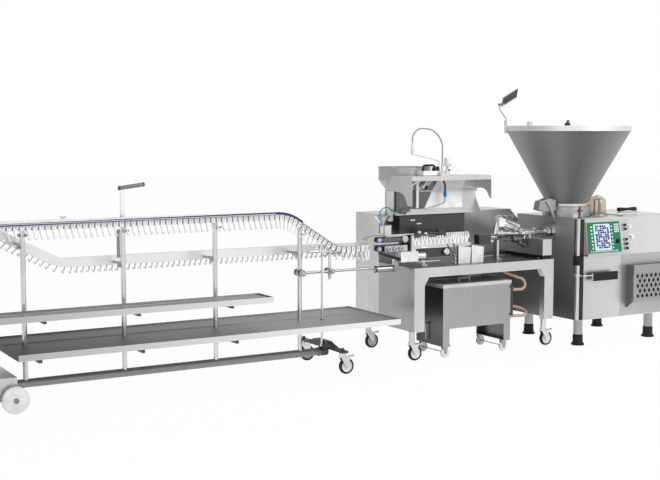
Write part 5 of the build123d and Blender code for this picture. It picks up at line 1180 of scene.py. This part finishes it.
class LINE_OT_tank_fittings(bpy.types.Operator):
    """Add the two smooth tan hoses with their ferrules and the dark sight tube"""

    bl_idname = "line.tank_fittings"
    bl_label = "Tank fittings"

    def execute(self, context):
        wall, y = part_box("tank")[1].x - 0.034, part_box("tank_hoses")[0].y + 0.013
        port, bow, far = wall + 0.034, wall + 0.205, y + 0.1
        top = (1.390, -0.200)
        upper = ((*top, 0.722), (*top, 0.690), (top[0] + 0.045, y, 0.657), (bow + 0.006, y, 0.588),
                 (bow + 0.034, y, 0.535), (bow + 0.004, y, 0.500), (port, y, 0.505))
        lower = ((port, far, 0.346), (bow - 0.010, far, 0.342), (bow + 0.056, y + 0.05, 0.318),
                 (bow + 0.056, y, 0.285), (bow + 0.005, y, 0.272), (port, y, 0.280))
        add_piece("tan_hoses", [hose(upper, 0.013, 0.05), hose(lower, 0.013, 0.06)], "hose tan",
                  replaces="tank_hoses")
        glass_y = y - 0.090
        sight = [bar((wall - 0.014, glass_y, z), X, 0.034, 0.011, 16) for z in (0.315, 0.548)]
        sight.append(bar((wall + 0.016, glass_y, 0.300), Z, 0.262, 0.013, 20))
        add_piece("sight_tube", sight, "steel black")
        ferrules = [bar((port - 0.004, side, z), X, 0.03, 0.016, 20)
                    for side, z in ((y, 0.505), (far, 0.346), (y, 0.280))]
        ferrules.append(rod((*top, 0.690), (*top, 0.722), 0.018, 20))
        add_piece("hose_ferrules", ferrules, "steel shade")
        return {"FINISHED"}


# Stage

def area_lamp(name, place, aim, size, watts):
    """Soft round lamp turned towards a point."""
    data = bpy.data.lights.new(name, "AREA")
    data.shape = "DISK"
    data.size = size
    data.energy = watts
    lamp = bpy.data.objects.new(name, data)
    lamp.location = place
    lamp.rotation_euler = (Vector(aim) - Vector(place)).to_track_quat("-Z", "Y").to_euler()
    bpy.context.scene.collection.objects.link(lamp)


def studio_world():
    """Surround that the camera sees white, and that metal sees greyer at the object's left and back."""
    world = bpy.data.worlds.new("Studio")
    bpy.context.scene.world = world
    tree = Nodes(world)
    place = tree.add("ShaderNodeTexCoord", {}, "Generated")

    def facing(way, *levels):
        turn = tree.add("ShaderNodeVectorMath", {0: place, 1: Vector(way).normalized()}, "Value",
                        operation="DOT_PRODUCT")
        return tree.spread(turn, *levels, interpolation_type="SMOOTHSTEP")

    surround = facing((0.75, -0.6, 0.35), 0.38, 0.92, -0.7, 0.75)
    behind = facing(CAMERA_AWAY, 0.0, 1.0, 0.80, 0.93)
    camera_ray = tree.add("ShaderNodeLightPath", {}, "Is Camera Ray")
    background = tree.nodes["Background"].inputs
    background["Color"].default_value = (1, 1, 1, 1)
    tree.feed(background["Strength"], tree.larger(tree.larger(surround, behind), camera_ray))


def pale_floor():
    """Floor that reads white to the camera, in metal and through glass, and keeps a faint shadow."""
    material = bpy.data.materials.new("floor")
    tree = Nodes(material)
    tree.nodes.remove(tree.nodes["Principled BSDF"])
    camera, metal, glass = (tree.add("ShaderNodeLightPath", {}, f"Is {kind} Ray")
                            for kind in ("Camera", "Glossy", "Transmission"))
    shown, glow_share = tree.larger(tree.larger(camera, metal), glass), 0.975
    share = tree.add("ShaderNodeMath", {0: shown, 1: glow_share}, operation="MULTIPLY")
    matte = tree.add("ShaderNodeBsdfDiffuse", {"Color": (0.8, 0.8, 0.8, 1)})
    glow = tree.add("ShaderNodeEmission", {})
    mix = tree.add("ShaderNodeMixShader", {"Fac": share, 1: matte, 2: glow})
    tree.feed(tree.nodes["Material Output"].inputs["Surface"], mix)
    return material


class LINE_OT_stage(bpy.types.Operator):
    """Add the floor, lamps, surround and camera"""

    bl_idname = "line.stage"
    bl_label = "Stage"

    def execute(self, context):
        scene = context.scene
        mesh = bpy.data.meshes.new("floor")
        sides, floor_radius = 64, 39.0
        rim = lathe(((floor_radius, 0.0),), (0, 0, -0.001), Z, sides)[0]
        mesh.from_pydata(rim, [], [list(range(sides))])
        mesh.materials.append(pale_floor())
        floor = bpy.data.objects.new("floor", mesh)
        scene.collection.objects.link(floor)
        studio_world()
        area_lamp("key lamp", (3.5, -6.0, 5.5), (0.0, 0.0, 0.8), 4.0, 260)
        area_lamp("fill lamp", (-5.0, -5.0, 4.0), (0.0, 0.0, 0.9), 5.0, 60)
        data = bpy.data.cameras.new("camera")
        data.lens = 63.91
        data.sensor_width = 36
        camera = bpy.data.objects.new("camera", data)
        camera.location = (-4.815, -7.975, 1.85)
        camera.rotation_euler = (radians(90 - 5.317), 0, radians(-30.259))
        scene.collection.objects.link(camera)
        scene.camera = camera
        scene.view_settings.view_transform = "Standard"
        return {"FINISHED"}


OPERATORS = (LINE_OT_finishes, LINE_OT_castor_wheels, LINE_OT_plain_wheels, LINE_OT_foot_boots,
             LINE_OT_hook_chain, LINE_OT_posts, LINE_OT_tie_fittings, LINE_OT_panel_face,
             LINE_OT_folding_step, LINE_OT_filler_top, LINE_OT_mirror_glass, LINE_OT_hood_fittings,
             LINE_OT_linker_fittings, LINE_OT_head_fittings, LINE_OT_tank_fittings, LINE_OT_stage)


class LINE_PT_pieces(bpy.types.Panel):
    """Lists the pieces of the line and the stage"""

    bl_idname = "LINE_PT_pieces"
    bl_label = "Sausage line"
    bl_space_type = "VIEW_3D"
    bl_region_type = "UI"
    bl_category = "Sausage line"

    def draw(self, context):
        for operator in OPERATORS:
            self.layout.operator(operator.bl_idname)


CLASSES = (LineSizes, LineColours, *OPERATORS, LINE_PT_pieces)


def register():
    for item in CLASSES:
        bpy.utils.register_class(item)
    bpy.types.Scene.line_sizes = bpy.props.PointerProperty(type=LineSizes)
    bpy.types.Scene.line_colours = bpy.props.PointerProperty(type=LineColours)


def unregister():
    del bpy.types.Scene.line_colours
    del bpy.types.Scene.line_sizes
    for item in reversed(CLASSES):
        bpy.utils.unregister_class(item)


def main():
    """Builds the whole scene."""
    register()
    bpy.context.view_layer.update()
    for operator in OPERATORS:
        group, name = operator.bl_idname.split(".")
        getattr(getattr(bpy.ops, group), name)()


if __name__ == "__main__":
    main()
